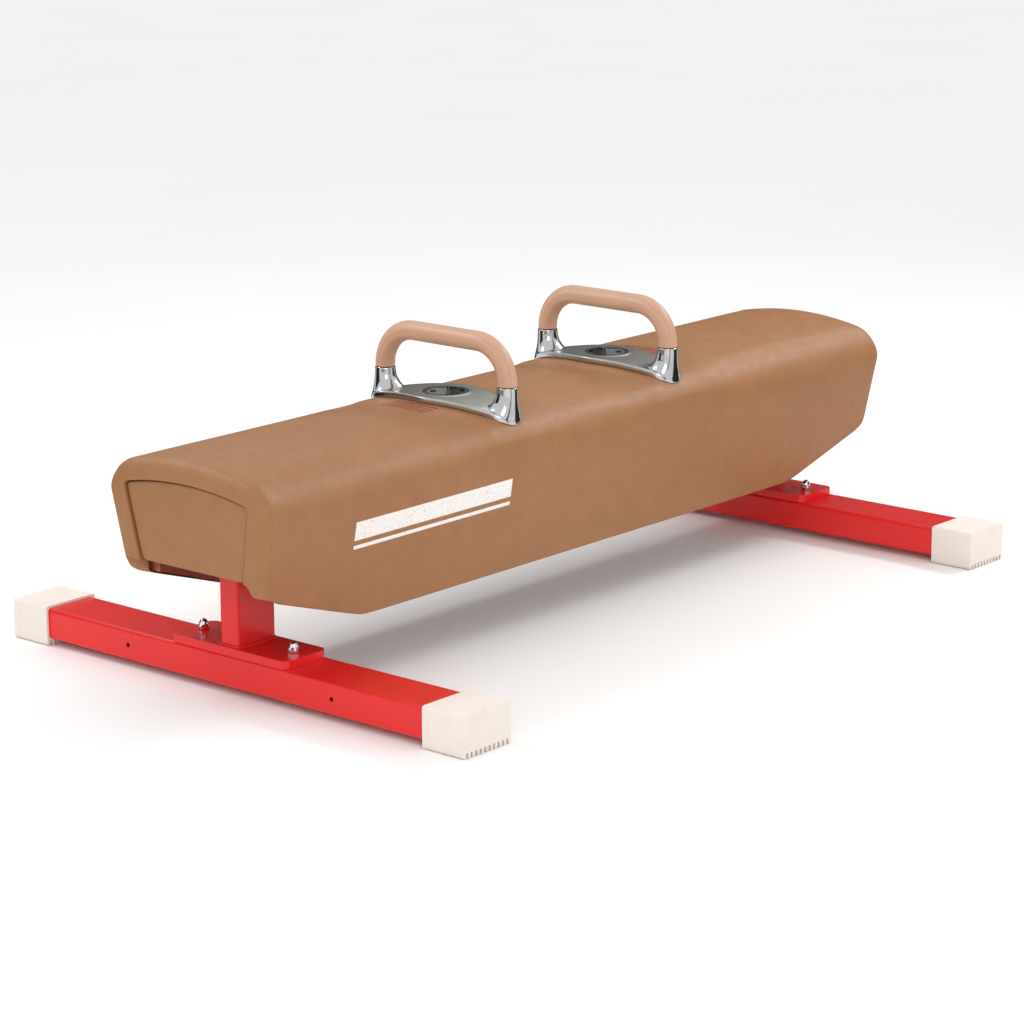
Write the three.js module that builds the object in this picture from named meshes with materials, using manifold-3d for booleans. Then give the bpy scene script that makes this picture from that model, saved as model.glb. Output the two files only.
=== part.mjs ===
// Low training pommel horse: a leather-covered padded body on two steel feet, with two pommels
// that slide along the top to set their spacing. Millimetres, +Z up, origin on the floor under
// the middle of the body, X along the body, "near" at -X, "far" at +X, "front" at -Y, "back" at +Y.

import * as THREE from 'three';
import { mergeVertices } from 'three/addons/utils/BufferGeometryUtils.js';
import Module from 'manifold-3d';

const wasm = await Module();
wasm.setup();

// ---------------------------------------------------------------- driving dimensions

const GAP = 0.3; // clearance between touching pieces
const ROUND_SEGMENTS = 12; // facets around a small circle
const DISC_SEGMENTS = 24; // facets around a large circle
const WELD = 1e-4; // points closer than this are one point
const PAST = 10; // how far a cutting tool runs past the face it opens
const WIDE = 60; // reach of the larger cutting tools

// horse body, measured on the leather
const BODY_HALF_LENGTH = 798; // at the shoulder line
const BODY_HALF_WIDTH = 175; // at the shoulder line
const SHOULDER_LINE_Z = 326;
const END_SLOPE = 0.07; // inward lean of the end faces per mm of drop
const SIDE_SLOPE = 0.178; // inward lean of the side faces per mm of drop
const CROWN_Z = 382; // top of the crown on the centre line
const CROWN_RADIUS = 600;
const SIDE_SHOULDER = 50; // how far in the rounding reaches from the sides
const END_SHOULDER = 27; // the same from the ends
const SHOULDER_DROP = 45; // how far down it reaches
const LEAST_ROUNDING = 5; // for the inner layers
const PLAN_CORNER_RADIUS = 20;
const BODY_BOTTOM_Z = 116; // flat lower edge of the skirts
const FLAT_BOTTOM_HALF = 560; // half length of that flat edge
const END_BOTTOM_Z = 195; // lower corner of the skirts at the ends
const END_CORNER_RADIUS = 28; // rounding of the skirts' lower end corners

// layers of the body, from the outside in
const LEATHER = 3;
const HEM_LAP = 2; // how far the folded hem runs into the skin
const PAD = 13;
const BOARD = 18;
const TOP_BOARD_UNDERSIDE_Z = 322;

// end panels
const PANEL_BORDER = 43; // leather border left around an end panel
const PANEL_RECESS = 4.5;
const PANEL_BOTTOM_Z = 209;
const PANEL_GROOVE = 1.8;
const PANEL_ARCH_Z = 346; // top of the panel's arch on the centre line
const MOUTH_SPREAD = 22; // how much the opening under a panel widens at each side
const MOUTH_LIP = 7; // width of the slanted edge there
const MOUTH_LIP_ABOVE = 2; // its upper and lower end, from the skirts' lower corner
const MOUTH_LIP_BELOW = 6;
const END_BOARD_LIFT = 4; // the end board stops short of the panel's lower edge

// base
const BASE_X = 671; // beam centre from the middle of the horse
const BASE_LENGTH = 974; // over the rubber feet
const BEAM_WIDTH = 96;
const BEAM_HEIGHT = 50;
const BEAM_WALL = 3;
const BEAM_CORNER = 5;
const BEAM_BOTTOM_Z = 11.5;
const BEAM_SIDE_HOLE_Y = 221;
const BEAM_SIDE_HOLE_RADIUS = 4;
const FOOT_LENGTH = 80;
const FOOT_HEIGHT = 66;
const FOOT_WIDTH = 105;
const FOOT_END_WALL = 7;
const FOOT_CORNER = 4;
const FOOT_GROOVES = 10;
const FOOT_GROOVE_PITCH = 9.9;
const FOOT_GROOVE_WIDTH = 4;
const FOOT_GROOVE_DEPTH = 8.5;
const PLATE_WIDTH = 94;
const PLATE_LENGTH = 250;
const PLATE_THICKNESS = 13.2;
const PLATE_CHAMFER = 9;
const COLUMN_WIDTH = 80;
const COLUMN_DEPTH = 40;
const COLUMN_WALL = 3;
const COLUMN_CORNER = 4;
const COLUMN_BORE_CORNER = 1.5;
const BASE_BOLT_Y = 98;
const BASE_BOLT_RADIUS = 5;
const BOLT_HEAD_FLATS = 16;
const BOLT_HEAD_HEIGHT = 6.4;
const BOLT_ABOVE_PLATE = 10;
const NUT_HEIGHT = 9;
const DOME_RADIUS = 7.4;
const DOME_LIFT = 1.2; // dome's centre above the nut's hexagon
const DOME_RINGS = 6;

// steel rails under the top board
const RAIL_SIZE = 40;
const RAIL_WALL = 2.5;
const RAIL_Y = 62;
const RAIL_HALF_LENGTH = 726;
const RAIL_CORNER = 4;
const RAIL_BORE_CORNER = 1.5;
const HEAD_PLATE_THICKNESS = 8;
const HEAD_PLATE_LENGTH = 130;
const HEAD_PLATE_CORNER = 8;
const HEAD_BOLT_LENGTH = 72;

// pommels
const POMMEL_X = 209; // half of the spacing they are set to
const TRAVEL_OUT = 16; // to the 450 mm spacing
const TRAVEL_IN = 9; // to the 400 mm spacing
const GRIP_RADIUS = 16.2;
const GRIP_HALF_SPAN = 132.2;
const GRIP_CENTRE_Z = 483.2;
const GRIP_BEND_RADIUS = 63;
const GRIP_END_Z = 416;
const TENON_RADIUS = 11;
const TENON_BOTTOM_Z = 392;
const SADDLE_HALF_WIDTH = 62.5; // at the middle
const SADDLE_FOOT_HALF_WIDTH = 36;
const SADDLE_FOOT_Y = 116; // centre of the round foot
const SADDLE_THICKNESS = 7.6;
const SADDLE_APEX_RADIUS = 70; // rounding of the plate's widest point
const SADDLE_APEX_BULGE = 1.5;
const UNDERLAY = 1.6;
const UNDERLAY_SETBACK = 1.5; // inside the saddle's edge
const UNDERLAY_CLEARANCE = 3; // around the stem
const SOCKET_RADIUS = 17;
const SOCKET_BOTTOM_Z = 340;
const SOCKET_FLARE_Z = 372; // where the flare meets the foot
const SOCKET_FLARE = 2.6; // higher is a sharper flare
const SOCKET_INSET = 1; // flare inside the foot's edge
const RECESS_RADIUS = 38;
const RECESS_FLOOR_Z = 386.4;
const BOSS_TOP_Z = 392.2;
const BOSS_WALL = 4;
const SCREW_RADIUS = 4; // screws that hold the grip from below
const SCREW_HEAD_RADIUS = 7;
const SCREW_HEAD_BOTTOM_Z = 370;
const SCREW_HEAD_TOP_Z = 375.5;
const SCREW_TIP_Z = 410;
const SCREW_BORE_TOP_Z = 412;
const TENON_OVERLAP = 8; // tenon inside the grip
const STEM_RADIUS = 7;
const STEM_BOTTOM_Z = 292;
const SLOT_CLEARANCE = 0.8;
const LINER_WALL = 2;
const LINER_TOP_DROP = 1; // below the crown
const FLANGE_MARGIN = 30; // past each end of the slot
const FLANGE_CORNER = 6;
const RAIL_CLEARANCE = 2; // between a rail and what lies beside it
const FLANGE_THICKNESS = 4;
const CLAMP_PLATE_THICKNESS = 10;
const CLAMP_PLATE_LENGTH = 70;
const CLAMP_PLATE_CORNER = 5;
const DISC_RADIUS = 36.5; // round head of the clamp screw
const DISC_DROP = 0.5; // below the boss
const POCKET_WEB = 1.4; // metal left under the pockets in the head
const KEY_REACH = 31;
const KEY_POCKET_CLEARANCE = 1.2;
const KEY_POCKET_EDGE = -3.2; // straight edge of the key's pocket
const WELL_EDGE = -6.2; // straight edge of the finger well
const KEY_DROP = 0.2; // below the head's top
const KEY_BARREL_RADIUS = 1.9;
const KEY_BARREL_HALF = 26;
const KEY_HOLE_X = 20;
const KEY_HOLE_HALF = 11;
const KEY_HOLE_RADIUS = 5;
const PIN_RADIUS = 1.2;
const PIN_CLEARANCE = 0.15;
const PIN_HALF = 32.5;
const RIB_HALF_WIDTH = 1.6;
const RIB_PITCH = 9;
const RIB_DROP = 0.8; // below the head's top
const RIB_SPAN = [-24, -8.5];
const KEY_ANGLE = { near: 130, far: -50 }; // which way each folding key points

// worked out from the above
const BEAM_TOP_Z = BEAM_BOTTOM_Z + BEAM_HEIGHT;
const PLATE_BOTTOM_Z = BEAM_TOP_Z + GAP;
const PLATE_TOP_Z = PLATE_BOTTOM_Z + PLATE_THICKNESS;
const RAIL_TOP_Z = TOP_BOARD_UNDERSIDE_Z - GAP;
const RAIL_BOTTOM_Z = RAIL_TOP_Z - RAIL_SIZE;
const HEAD_PLATE_TOP_Z = RAIL_BOTTOM_Z - GAP;
const HEAD_PLATE_BOTTOM_Z = HEAD_PLATE_TOP_Z - HEAD_PLATE_THICKNESS;
const PAD_INSET = LEATHER + GAP;
const CORE_INSET = PAD_INSET + PAD + GAP;
const HOLLOW_INSET = CORE_INSET + BOARD;
const FLANGE_TOP_Z = TOP_BOARD_UNDERSIDE_Z - GAP;
const FLANGE_BOTTOM_Z = FLANGE_TOP_Z - FLANGE_THICKNESS;
const BETWEEN_RAILS = 2 * (RAIL_Y - RAIL_SIZE / 2 - RAIL_CLEARANCE);
const SKIRT_RISE = (END_BOTTOM_Z - BODY_BOTTOM_Z) / (BODY_HALF_LENGTH - FLAT_BOTTOM_HALF);
const BODY_REACH_X = BODY_HALF_LENGTH + WIDE;
const BODY_REACH_Y = BODY_HALF_WIDTH + WIDE;
const DISC_BOTTOM_Z = RECESS_FLOOR_Z + GAP;
const DISC_TOP_Z = BOSS_TOP_Z - DISC_DROP;
const POCKET_FLOOR_Z = DISC_BOTTOM_Z + POCKET_WEB;
const PIN_Z = POCKET_FLOOR_Z + KEY_BARREL_RADIUS + GAP;

// ---------------------------------------------------------------- materials

function material(color, roughness, metalness) {
  return new THREE.MeshStandardMaterial({ color, roughness, metalness });
}

const leather = material(0xa9794f, 0.6, 0);
const foam = material(0xd9cfa8, 0.95, 0);
const timber = material(0xc79a63, 0.7, 0);
const redPaint = material(0xd62f2c, 0.25, 0.1);
const steel = material(0x8d9094, 0.4, 0.9);
const chrome = material(0xd8dade, 0.12, 1);
const aluminium = material(0xc9cbcf, 0.25, 1);
const gripWood = material(0xd0a080, 0.5, 0);
const whiteRubber = material(0xf0e6da, 0.8, 0);
const blackRubber = material(0x2b2623, 0.85, 0);

// ---------------------------------------------------------------- solids and meshes

function toSolid(geometry) {
  const plain = geometry.clone();
  plain.deleteAttribute('normal');
  plain.deleteAttribute('uv');
  const merged = mergeVertices(plain, WELD);
  const vertProperties = new Float32Array(merged.attributes.position.array);
  const triVerts = new Uint32Array(merged.index.array);
  return new wasm.Manifold(new wasm.Mesh({ numProp: 3, vertProperties, triVerts }));
}

function toGeometry(solid) {
  const mesh = solid.getMesh();
  const geometry = new THREE.BufferGeometry();
  geometry.setAttribute('position', new THREE.BufferAttribute(mesh.vertProperties, 3));
  geometry.setIndex(new THREE.BufferAttribute(mesh.triVerts, 1));
  geometry.computeVertexNormals();
  return geometry;
}

function cut(body, ...tools) {
  return tools.reduce((solid, tool) => solid.subtract(tool), body);
}

function join(body, ...others) {
  return others.reduce((solid, other) => solid.add(other), body);
}

function piece(name, solid, look) {
  const mesh = new THREE.Mesh(toGeometry(solid), look);
  mesh.name = name;
  return mesh;
}

function boxBetween(low, high) {
  const size = high.map((value, axis) => value - low[axis]);
  const middle = high.map((value, axis) => (value + low[axis]) / 2);
  return toSolid(new THREE.BoxGeometry(...size).translate(...middle));
}

function rod(radius, zLow, zHigh, x = 0, y = 0, sides = ROUND_SEGMENTS) {
  const geometry = new THREE.CylinderGeometry(radius, radius, zHigh - zLow, sides);
  return toSolid(geometry.rotateX(Math.PI / 2).translate(x, y, (zLow + zHigh) / 2));
}

function hexagon(acrossFlats, zLow, zHigh, x = 0, y = 0) {
  return rod(acrossFlats / Math.sqrt(3), zLow, zHigh, x, y, 6);
}

function rodAlongX(radius, xLow, xHigh, y, z) {
  const geometry = new THREE.CylinderGeometry(radius, radius, xHigh - xLow, ROUND_SEGMENTS);
  return toSolid(geometry.rotateZ(Math.PI / 2).translate((xLow + xHigh) / 2, y, z));
}

function rodAlongY(radius, yLow, yHigh, x, z) {
  const geometry = new THREE.CylinderGeometry(radius, radius, yHigh - yLow, ROUND_SEGMENTS);
  return toSolid(geometry.translate(x, (yLow + yHigh) / 2, z));
}

function roundedRectangle(width, height, radius) {
  const shape = new THREE.Shape();
  const right = width / 2 - radius;
  const top = height / 2 - radius;
  shape.absarc(right, top, radius, 0, Math.PI / 2);
  shape.absarc(-right, top, radius, Math.PI / 2, Math.PI);
  shape.absarc(-right, -top, radius, Math.PI, Math.PI * 1.5);
  shape.absarc(right, -top, radius, Math.PI * 1.5, Math.PI * 2);
  shape.closePath();
  return shape;
}

function stadium(halfLength, radius) {
  const shape = new THREE.Shape();
  const straight = halfLength - radius;
  shape.absarc(straight, 0, radius, -Math.PI / 2, Math.PI / 2);
  shape.absarc(-straight, 0, radius, Math.PI / 2, Math.PI * 1.5);
  shape.closePath();
  return shape;
}

function polygonPoints(points) {
  return points.map(([u, v]) => new THREE.Vector2(u, v));
}

function polygon(points) {
  return new THREE.Shape(polygonPoints(points));
}

const bothSides = (distance) => [-distance, distance];

// a range that starts at inner and ends at outer, on the side that direction names
function span(direction, inner, outer) {
  return direction > 0 ? [inner, outer] : [-outer, -inner];
}

function extrude(shape, depth, curveSegments) {
  return new THREE.ExtrudeGeometry(shape, { depth, bevelEnabled: false, curveSegments });
}

function prismUp(shape, zLow, zHigh, curveSegments = 2) {
  return toSolid(extrude(shape, zHigh - zLow, curveSegments).translate(0, 0, zLow));
}

// the shape's own x and y lie along Y and Z
function prismAlongX(shape, xLow, xHigh, curveSegments = 1) {
  const turn = new THREE.Matrix4().makeBasis(
    new THREE.Vector3(0, 1, 0), new THREE.Vector3(0, 0, 1), new THREE.Vector3(1, 0, 0));
  const geometry = extrude(shape, xHigh - xLow, curveSegments).applyMatrix4(turn);
  return toSolid(geometry.translate(xLow, 0, 0));
}

// the shape's own x and y lie along X and Z
function prismAlongY(shape, yLow, yHigh, curveSegments = 1) {
  const turn = new THREE.Matrix4().makeBasis(
    new THREE.Vector3(1, 0, 0), new THREE.Vector3(0, 0, 1), new THREE.Vector3(0, -1, 0));
  const geometry = extrude(shape, yHigh - yLow, curveSegments).applyMatrix4(turn);
  return toSolid(geometry.translate(0, yHigh, 0));
}

// ---------------------------------------------------------------- the body's outer form

function crownHeight(y) {
  return CROWN_Z - (y * y) / (2 * CROWN_RADIUS);
}

// points around a rounded rectangle, anticlockwise, the two short ends divided to follow the crown
function planRing(halfLength, halfWidth, radius) {
  const cornerSteps = 3;
  const endSteps = 8;
  const points = [];
  const right = halfLength - radius;
  const side = halfWidth - radius;
  const corners = [[right, side, 0], [-right, side, 1], [-right, -side, 2], [right, -side, 3]];
  corners.forEach(([cx, cy, quarter]) => {
    for (let step = 0; step <= cornerSteps; step += 1) {
      const angle = (quarter + step / cornerSteps) * Math.PI / 2;
      points.push([cx + radius * Math.cos(angle), cy + radius * Math.sin(angle)]);
    }
    if (quarter % 2 === 1) {
      for (let step = 1; step < endSteps; step += 1) {
        const across = Math.sign(cy) * side * (1 - 2 * step / endSteps);
        points.push([Math.sign(cx) * halfLength, across]);
      }
    }
  });
  return points;
}

// a closed solid between a stack of rings that all have the same number of points
function loft(rings) {
  const around = rings[0].length;
  const positions = rings.flat(2);
  const index = [];
  for (let level = 0; level < rings.length - 1; level += 1) {
    for (let at = 0; at < around; at += 1) {
      const next = (at + 1) % around;
      const low = level * around;
      const high = low + around;
      index.push(low + at, low + next, high + next, low + at, high + next, high + at);
    }
  }
  [0, rings.length - 1].forEach((level) => {
    const ring = rings[level];
    const centre = [0, 1, 2].map((axis) => ring.reduce((sum, p) => sum + p[axis], 0) / around);
    const hub = positions.length / 3;
    positions.push(...centre);
    for (let at = 0; at < around; at += 1) {
      const here = level * around + at;
      const next = level * around + (at + 1) % around;
      index.push(...(level === 0 ? [hub, next, here] : [hub, here, next]));
    }
  });
  const geometry = new THREE.BufferGeometry();
  geometry.setAttribute('position', new THREE.Float32BufferAttribute(positions, 3));
  geometry.setIndex(index);
  return toSolid(geometry);
}

// the body's form, moved inward by inset: leaning sides, rounded shoulders and a crowned top
function bodyForm(inset, floorZ) {
  const rounding = (size) => Math.max(size - inset, LEAST_ROUNDING);
  const [endRound, sideRound, drop] = [END_SHOULDER, SIDE_SHOULDER, SHOULDER_DROP].map(rounding);
  const corner = rounding(PLAN_CORNER_RADIUS);
  const outline = (z, share, radius) => planRing(
    BODY_HALF_LENGTH - inset - END_SLOPE * (SHOULDER_LINE_Z - z) - endRound * share,
    BODY_HALF_WIDTH - inset - SIDE_SLOPE * (SHOULDER_LINE_Z - z) - sideRound * share,
    radius);
  const foot = outline(SHOULDER_LINE_Z, 1, corner / 2);
  const base = foot.map(([, y]) => crownHeight(y) - inset - drop);
  const rings = [outline(floorZ, 0, corner).map(([x, y]) => [x, y, floorZ])];
  const shoulderSteps = 4;
  for (let step = 0; step <= shoulderSteps; step += 1) {
    const angle = (step / shoulderSteps) * Math.PI / 2;
    const radius = corner * (1 - step / shoulderSteps / 2);
    const ring = outline(SHOULDER_LINE_Z, 1 - Math.cos(angle), radius);
    rings.push(ring.map(([x, y], at) => [x, y, base[at] + drop * Math.sin(angle)]));
  }
  const crownSteps = 3;
  const spineX = BODY_HALF_LENGTH - BODY_HALF_WIDTH;
  for (let step = 1; step < crownSteps; step += 1) {
    const kept = 1 - step / crownSteps;
    rings.push(foot.map(([x, y]) => {
      const spine = Math.sign(x) * spineX;
      return [spine + (x - spine) * kept, y * kept, crownHeight(y * kept) - inset];
    }));
  }
  return loft(rings);
}

// the side view below which nothing of the body shows, raised by lift
function skirtOutline(lift) {
  const flatZ = BODY_BOTTOM_Z + lift;
  const outerZ = END_BOTTOM_Z + SKIRT_RISE * (BODY_REACH_X - BODY_HALF_LENGTH) + lift;
  const topZ = CROWN_Z + WIDE;
  return polygon([
    [-FLAT_BOTTOM_HALF, flatZ], [FLAT_BOTTOM_HALF, flatZ], [BODY_REACH_X, outerZ],
    [BODY_REACH_X, topZ], [-BODY_REACH_X, topZ], [-BODY_REACH_X, outerZ]]);
}

function aboveSkirtLine(lift) {
  return prismAlongY(skirtOutline(lift), -BODY_REACH_Y, BODY_REACH_Y);
}

const FORM_FLOOR_Z = 80; // the forms run down past the skirts and are trimmed there
const SLOT_TOOL_LOW_Z = TOP_BOARD_UNDERSIDE_Z - PAST;
const pommelSides = [['near', -1], ['far', 1]];

// ---------------------------------------------------------------- slots through the top

const SLOT_INNER_HALF = (TRAVEL_OUT + TRAVEL_IN) / 2 + STEM_RADIUS + SLOT_CLEARANCE;
const SLOT_INNER_RADIUS = STEM_RADIUS + SLOT_CLEARANCE;

// the slot is longer on the outer side, so it isn't centred on the pommel
function slotCentreX(direction) {
  return direction * (POMMEL_X + (TRAVEL_OUT - TRAVEL_IN) / 2);
}

function slotPrism(direction, extra, zLow, zHigh) {
  const shape = stadium(SLOT_INNER_HALF + extra, SLOT_INNER_RADIUS + extra);
  return prismUp(shape, zLow, zHigh, 3).translate([slotCentreX(direction), 0, 0]);
}

function topSlots(zLow, zHigh) {
  return pommelSides.map(([, direction]) => (
    slotPrism(direction, LINER_WALL + GAP, zLow, zHigh)));
}

// ---------------------------------------------------------------- body pieces

// end opening of the leather: leaning sides, an arched top, and a lower mouth that flares out
function panelOutline(grow, floorZ) {
  const halfAt = (z) => (
    BODY_HALF_WIDTH - PANEL_BORDER - SIDE_SLOPE * (SHOULDER_LINE_Z - z) + grow);
  const archAt = (y) => PANEL_ARCH_Z + grow - (y * y) / (2 * CROWN_RADIUS);
  const topHalf = halfAt(archAt(halfAt(SHOULDER_LINE_Z)));
  const archSteps = 8;
  const arch = Array.from({ length: archSteps + 1 }, (_, step) => {
    const y = topHalf * (1 - 2 * step / archSteps);
    return [y, archAt(y)];
  });
  return [[-halfAt(floorZ), floorZ], [halfAt(floorZ), floorZ], ...arch];
}

function mouthOutline() {
  const panelHalf = BODY_HALF_WIDTH - PANEL_BORDER - SIDE_SLOPE * (SHOULDER_LINE_Z - PANEL_BOTTOM_Z);
  const outer = panelHalf + MOUTH_SPREAD;
  const lipHigh = [outer - MOUTH_LIP, END_BOTTOM_Z + MOUTH_LIP_ABOVE];
  const right = [
    [outer, FORM_FLOOR_Z], [outer, END_BOTTOM_Z - MOUTH_LIP_BELOW], lipHigh, [panelHalf, PANEL_BOTTOM_Z]];
  const left = right.map(([y, z]) => [-y, z]).reverse();
  return polygon([...right, ...left]);
}

function endOpening(direction) {
  const reach = span(direction, BODY_HALF_LENGTH - WIDE, BODY_REACH_X);
  const window = prismAlongX(polygon(panelOutline(0, PANEL_BOTTOM_Z)), ...reach);
  return window.add(prismAlongX(mouthOutline(), ...reach));
}

// wedge outside the rounded lower corner of the skirts at one end
function skirtCornerCut(direction) {
  const faceX = BODY_HALF_LENGTH - END_SLOPE * (SHOULDER_LINE_Z - END_BOTTOM_Z);
  const slope = Math.atan(SKIRT_RISE);
  const turn = Math.PI / 2 - slope - Math.atan(END_SLOPE);
  const setBack = END_CORNER_RADIUS * Math.tan(turn / 2);
  const tipZ = END_BOTTOM_Z - SKIRT_RISE * (BODY_HALF_LENGTH - faceX);
  const lowX = faceX - setBack * Math.cos(slope);
  const lowZ = tipZ - setBack * Math.sin(slope);
  const centreX = lowX - END_CORNER_RADIUS * Math.sin(slope);
  const centreZ = lowZ + END_CORNER_RADIUS * Math.cos(slope);
  const steps = 4;
  const arc = Array.from({ length: steps + 1 }, (_, step) => {
    const angle = slope - Math.PI / 2 + (turn * step) / steps;
    return [
      centreX + END_CORNER_RADIUS * Math.cos(angle), centreZ + END_CORNER_RADIUS * Math.sin(angle)];
  });
  const lastZ = arc[steps][1];
  const outside = [[BODY_REACH_X, lastZ], [BODY_REACH_X, lowZ - WIDE], [lowX, lowZ - WIDE]];
  const outline = [...arc, ...outside].map(([x, z]) => [direction * x, z]);
  const ordered = direction > 0 ? outline : outline.reverse();
  return prismAlongY(polygon(ordered), -BODY_REACH_Y, BODY_REACH_Y);
}

function openBelowAndAtEnds(solid) {
  const ends = pommelSides.flatMap(([, direction]) => [
    endOpening(direction), skirtCornerCut(direction)]);
  return cut(solid, ...ends, ...topSlots(SLOT_TOOL_LOW_Z, CROWN_Z + PAST));
}

function leatherCover() {
  const skin = bodyForm(0, FORM_FLOOR_Z).subtract(bodyForm(LEATHER, FORM_FLOOR_Z - PAST));
  const band = aboveSkirtLine(0).subtract(aboveSkirtLine(LEATHER));
  const hem = bodyForm(LEATHER - HEM_LAP, FORM_FLOOR_Z)
    .subtract(bodyForm(HOLLOW_INSET, FORM_FLOOR_Z - PAST))
    .intersect(band);
  return openBelowAndAtEnds(skin.intersect(aboveSkirtLine(0)).add(hem));
}

function foamPad() {
  const shell = bodyForm(PAD_INSET, FORM_FLOOR_Z)
    .subtract(bodyForm(PAD_INSET + PAD, FORM_FLOOR_Z - PAST))
    .intersect(aboveSkirtLine(LEATHER + GAP));
  return openBelowAndAtEnds(shell);
}

function core() {
  return bodyForm(CORE_INSET, FORM_FLOOR_Z).intersect(aboveSkirtLine(LEATHER + GAP));
}

function topBoard() {
  const upper = boxBetween(
    [-BODY_REACH_X, -BODY_REACH_Y, TOP_BOARD_UNDERSIDE_Z], [BODY_REACH_X, BODY_REACH_Y, CROWN_Z + PAST]);
  const boltTop = HEAD_PLATE_BOTTOM_Z + HEAD_BOLT_LENGTH + GAP;
  const headBolts = bothSides(BASE_X).flatMap((x) => bothSides(RAIL_Y).map((y) => (
    rod(BASE_BOLT_RADIUS + GAP, TOP_BOARD_UNDERSIDE_Z - PAST, boltTop, x, y))));
  return cut(core().intersect(upper), ...topSlots(SLOT_TOOL_LOW_Z, CROWN_Z + PAST), ...headBolts);
}

const END_BOARD_OUTER_X = BODY_HALF_LENGTH - CORE_INSET - END_SLOPE * (SHOULDER_LINE_Z - PANEL_BOTTOM_Z);

// how far out the lower inner edge of a side board lies
const SIDE_BOARD_INNER_Y = BODY_HALF_WIDTH - SIDE_SLOPE * (SHOULDER_LINE_Z - BODY_BOTTOM_Z) - HOLLOW_INSET;

function sideBoard(direction) {
  const endX = END_BOARD_OUTER_X - BOARD - GAP;
  const [yLow, yHigh] = span(direction, SIDE_BOARD_INNER_Y, BODY_REACH_Y);
  const region = boxBetween([-endX, yLow, FORM_FLOOR_Z], [endX, yHigh, TOP_BOARD_UNDERSIDE_Z - GAP]);
  return core().subtract(bodyForm(HOLLOW_INSET, FORM_FLOOR_Z - PAST)).intersect(region);
}

function endBoard(direction) {
  const [xLow, xHigh] = span(direction, END_BOARD_OUTER_X - BOARD, END_BOARD_OUTER_X);
  const region = boxBetween(
    [xLow, -BODY_REACH_Y, PANEL_BOTTOM_Z + END_BOARD_LIFT],
    [xHigh, BODY_REACH_Y, TOP_BOARD_UNDERSIDE_Z - GAP]);
  return core().intersect(region);
}

// a leaning, leather-wrapped board that closes the end of the body
function endPanel(direction) {
  const outline = polygon(panelOutline(-PANEL_GROOVE, PANEL_BOTTOM_Z));
  const block = prismAlongX(outline, ...span(direction, BODY_HALF_LENGTH - WIDE, BODY_REACH_X));
  return block.intersect(bodyForm(PANEL_RECESS, FORM_FLOOR_Z))
    .subtract(bodyForm(CORE_INSET - GAP, FORM_FLOOR_Z - PAST));
}

function squareTube(width, depth, wall, corner, boreCorner) {
  const tube = roundedRectangle(width, depth, corner);
  tube.holes.push(roundedRectangle(width - 2 * wall, depth - 2 * wall, boreCorner));
  return tube;
}

function rail(direction) {
  const tube = squareTube(RAIL_SIZE, RAIL_SIZE, RAIL_WALL, RAIL_CORNER, RAIL_BORE_CORNER);
  const y = direction * RAIL_Y;
  const body = prismAlongX(tube, -RAIL_HALF_LENGTH, RAIL_HALF_LENGTH)
    .translate([0, y, (RAIL_TOP_Z + RAIL_BOTTOM_Z) / 2]);
  const holes = bothSides(BASE_X).map((x) => (
    rod(BASE_BOLT_RADIUS + GAP, RAIL_BOTTOM_Z - PAST, RAIL_TOP_Z + PAST, x, y)));
  return cut(body, ...holes);
}

// steel slot liner with a flange under the top board, which the clamp plate pulls against
function slotLiner(direction) {
  const flangeShape = roundedRectangle(2 * (SLOT_INNER_HALF + FLANGE_MARGIN), BETWEEN_RAILS, FLANGE_CORNER);
  const flange = prismUp(flangeShape, FLANGE_BOTTOM_Z, FLANGE_TOP_Z)
    .translate([slotCentreX(direction), 0, 0]);
  const sleeve = slotPrism(direction, LINER_WALL, FLANGE_BOTTOM_Z, CROWN_Z - LINER_TOP_DROP);
  return flange.add(sleeve).subtract(slotPrism(direction, 0, FLANGE_BOTTOM_Z - PAST, CROWN_Z + PAST));
}

// ---------------------------------------------------------------- base pieces, in the foot's own frame

const BEAM_CENTRE_Z = (BEAM_BOTTOM_Z + BEAM_TOP_Z) / 2;

function beam() {
  const tube = squareTube(BEAM_WIDTH, BEAM_HEIGHT, BEAM_WALL, BEAM_CORNER, BEAM_CORNER - BEAM_WALL);
  const halfLength = BASE_LENGTH / 2 - FOOT_END_WALL - GAP;
  const body = prismAlongY(tube, -halfLength, halfLength, 2).translate([0, 0, BEAM_CENTRE_Z]);
  const boltHoles = bothSides(BASE_BOLT_Y).map((y) => (
    rod(BASE_BOLT_RADIUS + GAP, 0, BEAM_TOP_Z + PAST, 0, y)));
  const faceX = -BEAM_WIDTH / 2;
  const sideHoles = bothSides(BEAM_SIDE_HOLE_Y).map((y) => (
    rodAlongX(BEAM_SIDE_HOLE_RADIUS, faceX - PAST, faceX + PAST, y, BEAM_CENTRE_Z)));
  return cut(body, ...boltHoles, ...sideHoles);
}

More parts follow.
